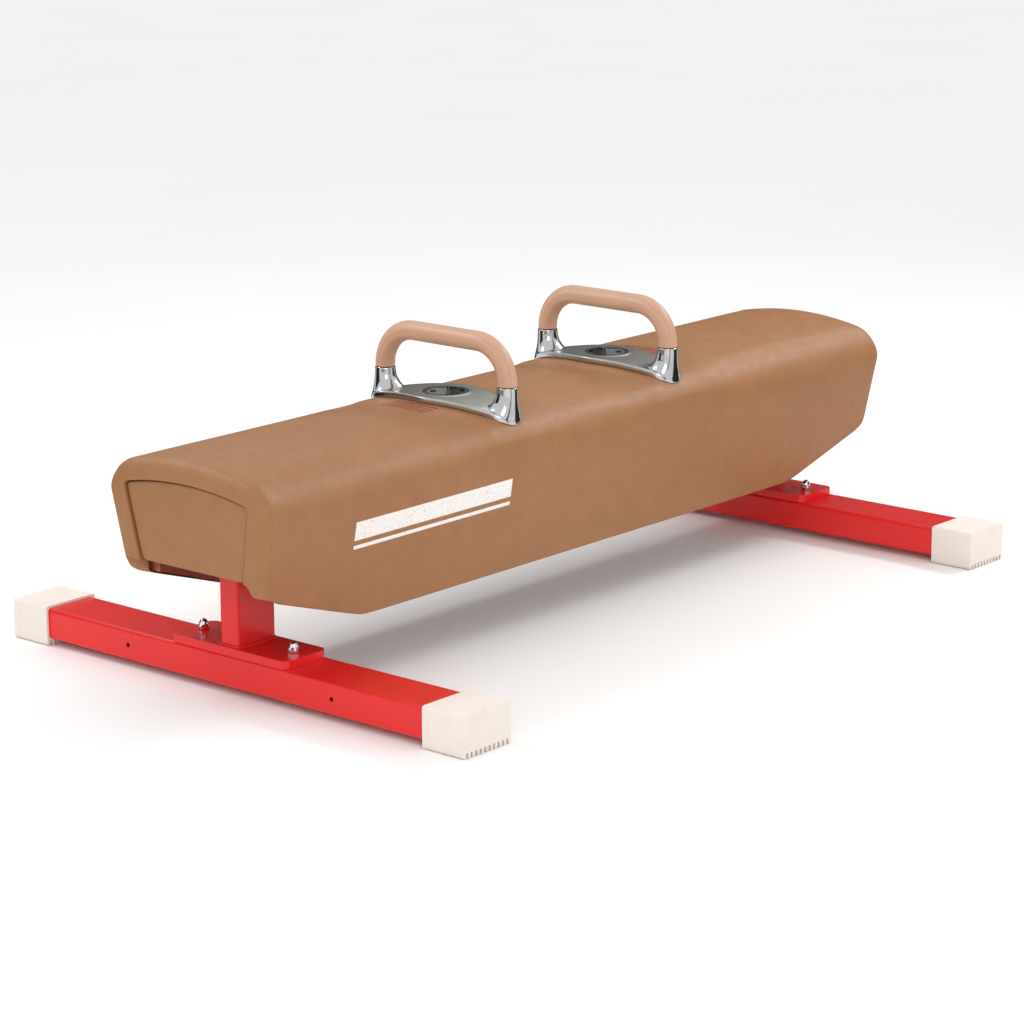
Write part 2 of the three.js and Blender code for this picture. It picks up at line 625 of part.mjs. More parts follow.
// moulded end cap with a ribbed sole
function rubberFoot(direction) {
  const outerY = BASE_LENGTH / 2;
  const innerY = outerY - FOOT_LENGTH;
  const block = prismAlongY(roundedRectangle(FOOT_WIDTH, FOOT_HEIGHT, FOOT_CORNER), innerY, outerY)
    .translate([0, 0, FOOT_HEIGHT / 2]);
  const pocketShape = roundedRectangle(BEAM_WIDTH + 2 * GAP, BEAM_HEIGHT + 2 * GAP, BEAM_CORNER);
  const pocket = prismAlongY(pocketShape, innerY - PAST, outerY - FOOT_END_WALL, 2)
    .translate([0, 0, BEAM_CENTRE_Z]);
  const grooves = Array.from({ length: FOOT_GROOVES }, (_, at) => {
    const x = (at - (FOOT_GROOVES - 1) / 2) * FOOT_GROOVE_PITCH;
    return boxBetween(
      [x - FOOT_GROOVE_WIDTH / 2, innerY - PAST, -PAST],
      [x + FOOT_GROOVE_WIDTH / 2, outerY + PAST, FOOT_GROOVE_DEPTH]);
  });
  const foot = cut(block, pocket, ...grooves);
  return direction > 0 ? foot : foot.rotate([0, 0, 180]);
}

function footPlate() {
  const x = PLATE_WIDTH / 2;
  const y = PLATE_LENGTH / 2;
  const c = PLATE_CHAMFER;
  const outline = polygon([
    [x, -y + c], [x, y - c], [x - c, y], [-x + c, y], [-x, y - c], [-x, -y + c], [-x + c, -y], [x - c, -y]]);
  const holes = bothSides(BASE_BOLT_Y).map((at) => (
    rod(BASE_BOLT_RADIUS + GAP, PLATE_BOTTOM_Z - PAST, PLATE_TOP_Z + PAST, 0, at)));
  return cut(prismUp(outline, PLATE_BOTTOM_Z, PLATE_TOP_Z), ...holes);
}

function column() {
  const tube = squareTube(COLUMN_WIDTH, COLUMN_DEPTH, COLUMN_WALL, COLUMN_CORNER, COLUMN_BORE_CORNER);
  return prismUp(tube, PLATE_TOP_Z + GAP, HEAD_PLATE_BOTTOM_Z - GAP, 1);
}

function headPlate() {
  const shape = roundedRectangle(HEAD_PLATE_LENGTH, 2 * RAIL_Y + RAIL_SIZE, HEAD_PLATE_CORNER);
  const holes = bothSides(RAIL_Y).map((y) => (
    rod(BASE_BOLT_RADIUS + GAP, HEAD_PLATE_BOTTOM_Z - PAST, HEAD_PLATE_TOP_Z + PAST, 0, y)));
  return cut(prismUp(shape, HEAD_PLATE_BOTTOM_Z, HEAD_PLATE_TOP_Z), ...holes);
}

function hexBolt(y, headTopZ, tipZ) {
  const headBottomZ = headTopZ - BOLT_HEAD_HEIGHT;
  return hexagon(BOLT_HEAD_FLATS, headBottomZ, headTopZ, 0, y)
    .add(rod(BASE_BOLT_RADIUS, headBottomZ, tipZ, 0, y));
}

function domeNut(y) {
  const base = PLATE_TOP_Z + GAP;
  const domeZ = base + NUT_HEIGHT + DOME_LIFT;
  const dome = toSolid(new THREE.SphereGeometry(DOME_RADIUS, ROUND_SEGMENTS, DOME_RINGS)
    .rotateX(Math.PI / 2).translate(0, y, domeZ));
  const bore = rod(BASE_BOLT_RADIUS + GAP, base - PAST, domeZ, 0, y);
  return hexagon(BOLT_HEAD_FLATS, base, base + NUT_HEIGHT, 0, y).add(dome).subtract(bore);
}

// ---------------------------------------------------------------- pommel pieces, in the pommel's own frame

// a lens with round feet: widest at the middle, a straight taper to each foot
function saddleOutline(shrink) {
  const middle = SADDLE_HALF_WIDTH - shrink;
  const foot = SADDLE_FOOT_HALF_WIDTH - shrink;
  const lean = Math.atan2(middle - foot, SADDLE_FOOT_Y);
  const apexCentre = middle - SADDLE_APEX_RADIUS / Math.cos(lean) + SADDLE_APEX_BULGE;
  const shape = new THREE.Shape();
  shape.absarc(0, SADDLE_FOOT_Y, foot, lean, Math.PI - lean);
  shape.absarc(-apexCentre, 0, SADDLE_APEX_RADIUS, Math.PI - lean, Math.PI + lean);
  shape.absarc(0, -SADDLE_FOOT_Y, foot, Math.PI + lean, 2 * Math.PI - lean);
  shape.absarc(apexCentre, 0, SADDLE_APEX_RADIUS, -lean, lean);
  shape.closePath();
  return shape;
}

// body form around one pommel, in the pommel's frame, raised by lift
function seatForm(direction, lift) {
  return bodyForm(-lift, FORM_FLOOR_Z).translate([-direction * POMMEL_X, 0, 0]);
}

// socket that flares into the foot: a turned profile whose axis leans in towards the foot's centre
function flaredSocket(end) {
  const footRadius = SADDLE_FOOT_HALF_WIDTH - SOCKET_INSET;
  const height = GRIP_END_Z - SOCKET_FLARE_Z;
  const profile = [[0, SOCKET_BOTTOM_Z], [footRadius, SOCKET_BOTTOM_Z], [footRadius, SOCKET_FLARE_Z]];
  const steps = 6;
  for (let step = 1; step <= steps; step += 1) {
    const share = step / steps;
    const radius = SOCKET_RADIUS + (footRadius - SOCKET_RADIUS) * (1 - share) ** SOCKET_FLARE;
    profile.push([radius, SOCKET_FLARE_Z + height * share]);
  }
  profile.push([0, GRIP_END_Z]);
  const geometry = new THREE.LatheGeometry(polygonPoints(profile), ROUND_SEGMENTS).rotateX(Math.PI / 2);
  const position = geometry.attributes.position;
  for (let at = 0; at < position.count; at += 1) {
    const share = THREE.MathUtils.clamp((position.getZ(at) - SOCKET_FLARE_Z) / height, 0, 1);
    const axisY = GRIP_HALF_SPAN - (GRIP_HALF_SPAN - SADDLE_FOOT_Y) * (1 - share) ** SOCKET_FLARE;
    position.setY(at, position.getY(at) + end * axisY);
  }
  return toSolid(geometry);
}

function saddle(direction) {
  const underside = UNDERLAY + 2 * GAP;
  const plate = prismUp(saddleOutline(0), CROWN_Z - WIDE, CROWN_Z + WIDE, 4)
    .intersect(seatForm(direction, underside + SADDLE_THICKNESS));
  const boss = rod(RECESS_RADIUS + BOSS_WALL, CROWN_Z - PAST, BOSS_TOP_Z, 0, 0, DISC_SEGMENTS);
  const solid = join(plate, boss, flaredSocket(-1), flaredSocket(1))
    .subtract(seatForm(direction, underside));
  const recess = rod(RECESS_RADIUS, RECESS_FLOOR_Z, BOSS_TOP_Z + PAST, 0, 0, DISC_SEGMENTS);
  const stemHole = rod(STEM_RADIUS + GAP, CROWN_Z - PAST, BOSS_TOP_Z);
  const bores = bothSides(GRIP_HALF_SPAN).flatMap((y) => [
    rod(TENON_RADIUS + GAP, TENON_BOTTOM_Z - GAP, GRIP_END_Z + PAST, 0, y),
    rod(SCREW_RADIUS + GAP, CROWN_Z - WIDE, TENON_BOTTOM_Z, 0, y),
    rod(SCREW_HEAD_RADIUS + GAP, CROWN_Z - WIDE, SCREW_HEAD_TOP_Z + GAP, 0, y)]);
  return cut(solid, recess, stemHole, ...bores);
}

function underlay(direction) {
  const pad = prismUp(saddleOutline(UNDERLAY_SETBACK), CROWN_Z - WIDE, CROWN_Z + WIDE, 3)
    .intersect(seatForm(direction, UNDERLAY + GAP));
  const stemHole = rod(STEM_RADIUS + UNDERLAY_CLEARANCE, CROWN_Z - PAST, CROWN_Z + PAST);
  const screwHoles = bothSides(GRIP_HALF_SPAN).map((y) => (
    rod(SCREW_HEAD_RADIUS + GAP, CROWN_Z - WIDE, CROWN_Z, 0, y)));
  return cut(pad, seatForm(direction, GAP), stemHole, ...screwHoles);
}

// centre line of the grip from one end to the other
function gripPath() {
  const bend = GRIP_BEND_RADIUS;
  const steps = 9;
  const rise = Array.from({ length: steps + 1 }, (_, step) => {
    const angle = (step / steps) * Math.PI / 2;
    const y = bend - GRIP_HALF_SPAN - bend * Math.cos(angle);
    return new THREE.Vector3(0, y, GRIP_CENTRE_Z - bend + bend * Math.sin(angle));
  });
  const half = [new THREE.Vector3(0, -GRIP_HALF_SPAN, GRIP_END_Z + GAP), ...rise];
  const all = [...half, ...half.map((p) => new THREE.Vector3(0, -p.y, p.z)).reverse()];
  const path = new THREE.CurvePath();
  for (let at = 0; at < all.length - 1; at += 1) {
    path.add(new THREE.LineCurve3(all[at], all[at + 1]));
  }
  return path;
}

// bent round handle on two tenons, each bored for a screw from below
function grip() {
  const base = GRIP_END_Z + GAP;
  const section = new THREE.Shape();
  section.absarc(0, 0, GRIP_RADIUS, 0, Math.PI * 2);
  const tube = toSolid(new THREE.ExtrudeGeometry(
    section, { extrudePath: gripPath(), steps: 24, curveSegments: 6, bevelEnabled: false }));
  const trim = boxBetween([-WIDE, -BODY_REACH_Y, base - WIDE], [WIDE, BODY_REACH_Y, base]);
  const tenons = bothSides(GRIP_HALF_SPAN).map((y) => (
    rod(TENON_RADIUS, TENON_BOTTOM_Z, base + TENON_OVERLAP, 0, y)));
  const screwHoles = bothSides(GRIP_HALF_SPAN).map((y) => (
    rod(SCREW_RADIUS + GAP, TENON_BOTTOM_Z - PAST, SCREW_BORE_TOP_Z, 0, y)));
  return cut(join(tube.subtract(trim), ...tenons), ...screwHoles);
}

function gripScrew(y) {
  return rod(SCREW_HEAD_RADIUS, SCREW_HEAD_BOTTOM_Z, SCREW_HEAD_TOP_Z, 0, y)
    .add(rod(SCREW_RADIUS, SCREW_HEAD_BOTTOM_Z, SCREW_TIP_Z, 0, y));
}

function pinBore() {
  return rodAlongY(PIN_RADIUS + PIN_CLEARANCE, -PIN_HALF - GAP, PIN_HALF + GAP, 0, PIN_Z);
}

// all that lies between two values of x
function slab(xLow, xHigh) {
  return boxBetween([xLow, -WIDE, 0], [xHigh, WIDE, CROWN_Z + WIDE]);
}

// round head with a D-shaped pocket for the folding key and finger ribs on the other half
function clampScrew() {
  const head = rod(DISC_RADIUS, DISC_BOTTOM_Z, DISC_TOP_Z, 0, 0, DISC_SEGMENTS);
  const stem = rod(STEM_RADIUS, STEM_BOTTOM_Z, POCKET_FLOOR_Z);
  const hollow = rod(
    KEY_REACH + KEY_POCKET_CLEARANCE, POCKET_FLOOR_Z, DISC_TOP_Z + PAST, 0, 0, DISC_SEGMENTS);
  const keyPocket = hollow.subtract(slab(-WIDE, KEY_POCKET_EDGE));
  const fingerWell = hollow.subtract(slab(WELL_EDGE, WIDE));
  const ribs = [-2, -1, 0, 1, 2].map((at) => boxBetween(
    [RIB_SPAN[0], at * RIB_PITCH - RIB_HALF_WIDTH, DISC_BOTTOM_Z],
    [RIB_SPAN[1], at * RIB_PITCH + RIB_HALF_WIDTH, DISC_TOP_Z - RIB_DROP]));
  return cut(join(cut(head.add(stem), keyPocket, fingerWell), ...ribs), pinBore());
}

// D-shaped plate with a barrel along its straight edge and a finger hole
function clampKey() {
  const bottom = POCKET_FLOOR_Z + GAP;
  const top = DISC_TOP_Z - KEY_DROP;
  const strip = boxBetween([0, -KEY_BARREL_HALF, 0], [WIDE, KEY_BARREL_HALF, CROWN_Z + WIDE]);
  const plate = rod(KEY_REACH, bottom, top, 0, 0, DISC_SEGMENTS).intersect(strip);
  const barrel = rodAlongY(KEY_BARREL_RADIUS, -KEY_BARREL_HALF, KEY_BARREL_HALF, 0, PIN_Z);
  const fingerHole = prismUp(stadium(KEY_HOLE_HALF, KEY_HOLE_RADIUS), bottom - PAST, top + PAST)
    .rotate([0, 0, 90]).translate([KEY_HOLE_X, 0, 0]);
  return cut(plate.add(barrel), fingerHole, pinBore());
}

function keyPin() {
  return rodAlongY(PIN_RADIUS, -PIN_HALF, PIN_HALF, 0, PIN_Z);
}

function clampPlate() {
  const top = FLANGE_BOTTOM_Z - GAP;
  const bottom = top - CLAMP_PLATE_THICKNESS;
  const shape = roundedRectangle(CLAMP_PLATE_LENGTH, BETWEEN_RAILS, CLAMP_PLATE_CORNER);
  return prismUp(shape, bottom, top, 1).subtract(rod(STEM_RADIUS + GAP, bottom - PAST, top + PAST));
}

// ---------------------------------------------------------------- assembly

const horse = new THREE.Group();

const bodyPieces = [
  piece('leather_cover', leatherCover(), leather),
  piece('foam_pad', foamPad(), foam),
  piece('top_board', topBoard(), timber),
  piece('front_side_board', sideBoard(-1), timber),
  piece('back_side_board', sideBoard(1), timber),
  piece('near_end_board', endBoard(-1), timber),
  piece('far_end_board', endBoard(1), timber),
  piece('near_end_panel', endPanel(-1), leather),
  piece('far_end_panel', endPanel(1), leather),
  piece('front_rail', rail(-1), steel),
  piece('back_rail', rail(1), steel),
  piece('near_slot_liner', slotLiner(-1), steel),
  piece('far_slot_liner', slotLiner(1), steel),
];
horse.add(...bodyPieces);

// the far foot is the near one turned half round, so its side holes also face outward
for (const [end, direction] of pommelSides) {
  const base = new THREE.Group();
  base.position.x = direction * BASE_X;
  base.rotation.z = direction > 0 ? Math.PI : 0;
  base.add(
    piece(`${end}_beam`, beam(), redPaint),
    piece(`${end}_foot_plate`, footPlate(), redPaint),
    piece(`${end}_column`, column(), redPaint),
    piece(`${end}_head_plate`, headPlate(), redPaint));
  for (const [side, sign] of [['front', -1], ['back', 1]]) {
    const local = direction > 0 ? -sign : sign;
    base.add(
      piece(`${end}_${side}_rubber_foot`, rubberFoot(local), whiteRubber),
      piece(`${end}_${side}_base_bolt`,
        hexBolt(local * BASE_BOLT_Y, BEAM_BOTTOM_Z - GAP, PLATE_TOP_Z + BOLT_ABOVE_PLATE), chrome),
      piece(`${end}_${side}_dome_nut`, domeNut(local * BASE_BOLT_Y), chrome),
      piece(`${end}_${side}_head_bolt`,
        hexBolt(local * RAIL_Y, HEAD_PLATE_BOTTOM_Z - GAP, HEAD_PLATE_BOTTOM_Z + HEAD_BOLT_LENGTH), steel));
  }
  horse.add(base);
}

for (const [end, direction] of pommelSides) {
  const pommel = new THREE.Group();
  pommel.position.x = direction * POMMEL_X;
  pommel.add(
    piece(`${end}_saddle`, saddle(direction), aluminium),
    piece(`${end}_grip`, grip(), gripWood),
    piece(`${end}_underlay`, underlay(direction), blackRubber),
    piece(`${end}_front_grip_screw`, gripScrew(-GRIP_HALF_SPAN), steel),
    piece(`${end}_back_grip_screw`, gripScrew(GRIP_HALF_SPAN), steel),
    piece(`${end}_clamp_plate`, clampPlate(), steel));
  const clamp = new THREE.Group();
  clamp.rotation.z = THREE.MathUtils.degToRad(KEY_ANGLE[end]);
  clamp.add(
    piece(`${end}_clamp_screw`, clampScrew(), steel),
    piece(`${end}_clamp_key`, clampKey(), chrome),
    piece(`${end}_key_pin`, keyPin(), steel));
  pommel.add(clamp);
  horse.add(pommel);
}

export default horse;
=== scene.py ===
"""Looks of a low training pommel horse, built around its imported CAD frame. Metres, +Z up."""

import math
from contextlib import contextmanager

import bmesh
import bpy
import numpy as np
from mathutils import Matrix, Vector

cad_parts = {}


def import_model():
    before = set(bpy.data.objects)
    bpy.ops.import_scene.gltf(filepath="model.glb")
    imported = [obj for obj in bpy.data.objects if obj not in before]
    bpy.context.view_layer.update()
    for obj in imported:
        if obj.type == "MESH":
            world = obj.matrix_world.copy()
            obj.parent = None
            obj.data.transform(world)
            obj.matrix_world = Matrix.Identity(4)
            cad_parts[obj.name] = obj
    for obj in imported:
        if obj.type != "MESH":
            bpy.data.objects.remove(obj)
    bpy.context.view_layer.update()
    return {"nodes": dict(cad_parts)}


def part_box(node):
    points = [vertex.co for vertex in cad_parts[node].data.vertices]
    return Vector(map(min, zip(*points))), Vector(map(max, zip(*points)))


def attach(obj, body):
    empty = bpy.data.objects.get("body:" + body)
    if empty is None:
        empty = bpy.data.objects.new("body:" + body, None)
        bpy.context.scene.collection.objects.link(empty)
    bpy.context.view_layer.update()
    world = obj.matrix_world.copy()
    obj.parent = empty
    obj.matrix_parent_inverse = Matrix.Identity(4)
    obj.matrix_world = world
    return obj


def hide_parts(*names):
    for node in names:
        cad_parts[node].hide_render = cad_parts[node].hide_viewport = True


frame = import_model()
NODES = frame["nodes"]

ENDS = {"near": -1, "far": 1}
SIDES = ("front", "back")

# ---------------------------------------------------------------- sizes from the frame

COVER_LOW, COVER_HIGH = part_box("leather_cover")
HALF_LENGTH = COVER_HIGH.x
HALF_WIDTH = COVER_HIGH.y
CROWN_Z = COVER_HIGH.z
SKIRT_Z = COVER_LOW.z

GRIP_LOW, GRIP_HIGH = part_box("near_grip")
GRIP_RADIUS = (GRIP_HIGH.x - GRIP_LOW.x) / 2
GRIP_HALF_SPAN = GRIP_HIGH.y - GRIP_RADIUS
GRIP_CENTRE_Z = GRIP_HIGH.z - GRIP_RADIUS
POMMEL_X = abs(GRIP_LOW.x + GRIP_HIGH.x) / 2  # how far from the middle each pommel stands

SADDLE_LOW, SADDLE_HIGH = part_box("near_saddle")
COLLAR_Z = SADDLE_HIGH.z
SADDLE_HALF_LENGTH = SADDLE_HIGH.y
SADDLE_HALF_WIDTH = (SADDLE_HIGH.x - SADDLE_LOW.x) / 2

# ---------------------------------------------------------------- the leather's sizes

REFERENCE_Z = 0.326  # height at which the half length and half width hold
END_SLOPE = 0.07
SIDE_SLOPE = 0.178
CROWN_RADIUS = 0.600
SIDE_SHOULDER = 0.050
END_SHOULDER = 0.027
PLAN_CORNER = 0.020
SHOULDER_DROP = 0.045
FLAT_BOTTOM_HALF = 0.560
SKIRT_END_Z = 0.186  # where the skirt's rounded end corner starts
OPENING_BOTTOM_Z = 0.209
OPENING_ARCH_Z = 0.346
BORDER = 0.043  # leather border around an end opening
OPENING_CORNER = 0.007
EDGE_ROUND = 0.0026
BEND_SOFTNESS = 0.012  # rounds the bend in the skirt's lower edge
EARLY_RISE = (0.0, 0.9)  # part of the plan corner over which a skirt rises
LATE_RISE = (PLAN_CORNER / BORDER, 0.85)  # part of the border strip over which a late skirt rises
FOLD_STEPS = (0.12, 0.3, 0.55, 0.8, 1, 1.3, 2)  # up to 1 round the edge, then straight inwards
FOLD_DEPTH = 0.022
HEM_WIDTH = 0.036
END_HEM_WIDTH = 0.008
HEM_TAPER = 5  # rows over which the hem narrows towards an end
HEM_ROUND = ((0.004, 0.0004), (0.0012, -0.0002))  # inwards and up, from the hem to the edge
HEM_LIFT = 0.0016
BODY_ROWS = 131
COVER_THICKNESS = 0.0016

COVER_SHRINK = 0.0025  # the cover starts this much smaller and swells back
COVER_TRAVEL = 0.0032
CLOTH_FRAMES = 20
CLOTH_PRESSURE = 4.0
CLOTH_STIFFNESS = 40
CLOTH_BENDING = 4
PINNED_HEM = (0.004, 0.030)  # heights above the skirt's edge from fastened to free
PINNED_END = (0.035, 0.012)  # distances from the end from free to fastened
PINNED_POMMEL = 0.03  # how far round a saddle the leather is still held
PINNED_TOP_Z = 0.33

# ---------------------------------------------------------------- the printed marks' sizes

BARS_X = (-0.600, -0.236, 0.0006)  # from, to, and how soft the edges are
THICK_BAR_Z = (0.246, 0.276, 0.0005)
THIN_BAR_Z = (0.232, 0.238, 0.0005)
FRONT_Y = -0.10
LINE_PITCH = 0.012
LINES_X = (0.276, 0.318, 0.0004)
LINES_HALF_Y = 0.046
LINES_LOW_Z = 0.36

POLISHED_Y = (0.088, 0.108)  # where a saddle goes over from satin to polished
GRIME_HEIGHT = 0.0085  # how far up the rubber feet the floor's dirt reaches


def srgb(red, green, blue):
    """A linear colour from 0-255 display values."""
    def linear(value):
        value /= 255
        return value / 12.92 if value <= 0.04045 else ((value + 0.055) / 1.055) ** 2.4
    return (linear(red), linear(green), linear(blue), 1.0)


def grey(level):
    """A linear grey."""
    return (level, level, level, 1.0)


# ---------------------------------------------------------------- material nodes

class Look:
    """A Principled material with short calls for the nodes that feed it."""

    def __init__(self, name, **constants):
        self.material = bpy.data.materials.new(name)
        self.material.use_nodes = True
        self.tree = self.material.node_tree
        self.shader = self.tree.nodes["Principled BSDF"]
        for socket, value in constants.items():
            self.shader.inputs[socket.replace("_", " ")].default_value = value

    def add(self, kind, **inputs):
        made = self.tree.nodes.new(kind)
        for socket, value in inputs.items():
            self.feed(made.inputs[socket.replace("_", " ")], value)
        return made

    def feed(self, socket, value):
        if isinstance(value, bpy.types.NodeSocket):
            self.tree.links.new(value, socket)
        else:
            socket.default_value = value

    def place(self, scale=(1, 1, 1), source="Object"):
        coords = self.add("ShaderNodeTexCoord")
        mapping = self.add("ShaderNodeMapping", Vector=coords.outputs[source], Scale=scale)
        return mapping.outputs["Vector"]

    def noise(self, scale, detail=3.0, rough=0.55, stretch=(1, 1, 1), source="Object"):
        made = self.add("ShaderNodeTexNoise", Vector=self.place(stretch, source), Scale=scale,
                        Detail=detail, Roughness=rough)
        return made.outputs["Fac"]

    def cells(self, scale):
        made = self.add("ShaderNodeTexVoronoi", Vector=self.place(), Scale=scale)
        return made.outputs["Distance"]

    def math(self, operation, first, second=0.0, clamp=False):
        made = self.tree.nodes.new("ShaderNodeMath")
        made.operation = operation
        made.use_clamp = clamp
        self.feed(made.inputs[0], first)
        self.feed(made.inputs[1], second)
        return made.outputs[0]

    def fit(self, value, low, high, to_low, to_high):
        made = self.tree.nodes.new("ShaderNodeMapRange")
        for index, item in enumerate((value, low, high, to_low, to_high)):
            self.feed(made.inputs[index], item)
        return made.outputs[0]

    def patches(self, low, high, *noise):
        """Noise spread out to 0 below low and 1 above high."""
        return self.fit(self.noise(*noise), low, high, 0.0, 1.0)

    def times(self, *values):
        product = values[0]
        for value in values[1:]:
            product = self.math("MULTIPLY", product, value)
        return product

    def mix(self, share, first, second):
        made = self.tree.nodes.new("ShaderNodeMix")
        made.data_type = "RGBA"
        self.feed(made.inputs[0], share)
        self.feed(made.inputs[6], first)
        self.feed(made.inputs[7], second)
        return made.outputs[2]

    def axes(self):
        coords = self.add("ShaderNodeTexCoord")
        return self.add("ShaderNodeSeparateXYZ", Vector=coords.outputs["Object"]).outputs

    def color(self, value):
        self.feed(self.shader.inputs["Base Color"], value)

    def roughness(self, value):
        self.feed(self.shader.inputs["Roughness"], value)

    def bump(self, height, distance, strength=1.0):
        made = self.add("ShaderNodeBump", Height=height, Distance=distance, Strength=strength)
        self.tree.links.new(made.outputs["Normal"], self.shader.inputs["Normal"])


def between(look, value, low, high, soft):
    """1 where value lies between low and high, 0 outside, with soft edges."""
    rising = look.fit(value, low - soft, low + soft, 0.0, 1.0)
    falling = look.fit(value, high - soft, high + soft, 1.0, 0.0)
    return look.math("MULTIPLY", rising, falling, clamp=True)


def grain_and_creases(look, depth):
    fine = look.cells(760)
    pores = look.noise(1500, 2.0)
    soft = look.noise(45, 3.0)
    height = look.math("ADD", look.times(fine, 0.7), look.times(pores, 0.35))
    height = look.math("ADD", height, look.times(soft, 1.4))
    look.bump(height, depth, 0.55)


def leather_colour(look, base, light, dark):
    mottled = look.patches(0.35, 0.65, 26, 5.0, 0.62)
    cloudy = look.patches(0.35, 0.65, 3.2, 3.0)
    flecks = look.patches(0.40, 0.70, 420, 2.0)
    tone = look.mix(look.times(mottled, 0.45), base, light)
    tone = look.mix(look.times(cloudy, 0.22), tone, dark)
    return look.mix(look.times(flecks, 0.28), tone, dark)


def leather_look(name, marked):
    look = Look(name, Specular_IOR_Level=0.42)
    tone = leather_colour(look, srgb(157, 108, 67), srgb(172, 122, 80), srgb(139, 91, 54))
    if marked:
        tone = printed_marks(look, tone)
    look.color(tone)
    look.roughness(look.fit(look.noise(60, 4.0), 0.3, 0.7, 0.42, 0.54))
    grain_and_creases(look, 0.0004)
    return look.material


def printed_marks(look, tone):
    """Two plain white bars on the front side and short red setting lines outside each pommel."""
    x, y, z = look.axes()
    worn = look.fit(look.noise(300, 3.0), 0.30, 0.44, 0.55, 1.0)
    front = look.math("LESS_THAN", y, FRONT_Y)
    along, thick, thin = (between(look, value, *limits) for value, limits in
                          ((x, BARS_X), (z, THICK_BAR_Z), (z, THIN_BAR_Z)))
    bars = look.times(look.math("MAXIMUM", thick, thin), along, front)
    tone = look.mix(look.times(bars, worn), tone, srgb(244, 241, 236))
    reach = look.math("ABSOLUTE", x)
    wave = look.math("FRACT", look.times(reach, 1 / LINE_PITCH))
    line = look.math("LESS_THAN", wave, 0.5)
    band = between(look, reach, *LINES_X)
    short = look.math("LESS_THAN", look.math("ABSOLUTE", y), LINES_HALF_Y)
    top = look.math("GREATER_THAN", z, LINES_LOW_Z)
    return look.mix(look.times(line, band, short, top), tone, srgb(132, 34, 22))


def paint_look():
    look = Look("red_gloss_paint", Coat_Weight=0.2, Coat_Roughness=0.1, Specular_IOR_Level=0.3)
    uneven = look.patches(0.10, 0.90, 5, 1.0)
    tone = look.mix(look.times(uneven, 0.45), srgb(230, 33, 31), srgb(212, 28, 29))
    dulled = look.patches(0.10, 0.90, 14, 1.0, 0.4)
    look.color(look.mix(look.times(dulled, 0.16), tone, srgb(184, 26, 30)))
    look.roughness(look.fit(look.noise(9, 1.0, 0.4), 0.1, 0.9, 0.24, 0.36))
    look.bump(look.noise(1100, 1.0, 0.4), 0.00002, 0.15)
    return look.material


def rubber_look():
    look = Look("off_white_rubber", Specular_IOR_Level=0.35)
    scuffs = look.patches(0.50, 0.75, 22, 5.0, 0.7)
    tone = look.mix(look.times(scuffs, 0.30), srgb(235, 225, 216), srgb(215, 199, 187))
    low = look.fit(look.axes()[2], 0.0, GRIME_HEIGHT, 1.0, 0.0)
    grime = look.times(low, look.fit(look.noise(90, 4.0), 0.3, 0.7, 0.10, 0.40))
    look.color(look.mix(grime, tone, srgb(176, 150, 132)))
    look.roughness(look.fit(look.noise(80, 3.0), 0.3, 0.7, 0.62, 0.80))
    look.bump(look.math("ADD", look.cells(520), look.noise(900, 2.0)), 0.0004, 0.5)
    return look.material


def wood_look(name, light, mid, dark, source, stretch, gloss):
    look = Look(name, Specular_IOR_Level=0.4, Coat_Weight=0.08, Coat_Roughness=0.3)
    broad = look.patches(0.34, 0.68, 1.0, 4.0, 0.6, stretch, source)
    fine = look.patches(0.38, 0.70, 3.4, 5.0, 0.7, stretch, source)
    tone = look.mix(broad, light, mid)
    look.color(look.mix(look.times(fine, 0.42), tone, dark))
    look.roughness(look.fit(fine, 0.0, 1.0, gloss, gloss + 0.14))
    look.bump(look.noise(6.0, 3.0, 0.6, stretch, source), 0.00025, 0.35)
    return look.material


def metal_look(name, colour, shade, rough_low, rough_high, brush=(1, 1, 1)):
    look = Look(name, Metallic=1.0)
    smudges = look.patches(0.35, 0.70, 40, 4.0)
    look.color(look.mix(look.times(smudges, 0.5), colour, shade))
    look.roughness(look.fit(look.noise(120, 4.0, 0.6, brush), 0.3, 0.7, rough_low, rough_high))
    look.bump(look.noise(400, 3.0, 0.6, brush), 0.00008, 0.3)
    return look.material


def casting_look():
    """Satin cast plate whose sockets are polished."""
    look = Look("cast_aluminium", Metallic=1.0)
    reach = look.math("ABSOLUTE", look.axes()[1])
    polished = look.fit(reach, *POLISHED_Y, 0.0, 1.0)
    smudges = look.patches(0.35, 0.70, 55, 4.0)
    satin = look.mix(look.times(smudges, 0.5), srgb(186, 184, 177), srgb(168, 166, 159))
    look.color(look.mix(polished, satin, srgb(194, 195, 197)))
    satin_rough = look.fit(look.noise(240, 4.0, 0.6, (1, 6, 1)), 0.3, 0.7, 0.26, 0.38)
    bright_rough = look.fit(look.noise(70, 4.0), 0.3, 0.7, 0.08, 0.15)
    rest = look.math("SUBTRACT", 1.0, polished)
    look.roughness(look.math("ADD", look.times(satin_rough, rest), look.times(bright_rough, polished)))
    look.bump(look.times(look.noise(700, 3.0), rest), 0.00012, 0.35)
    return look.material


def black_rubber_look():
    look = Look("black_rubber", Specular_IOR_Level=0.3)
    dusty = look.patches(0.4, 0.7, 60, 4.0)
    look.color(look.mix(look.times(dusty, 0.5), srgb(38, 34, 32), srgb(64, 58, 54)))
    look.roughness(look.fit(look.noise(150, 3.0), 0.3, 0.7, 0.70, 0.88))
    look.bump(look.cells(900), 0.0002, 0.4)
    return look.material


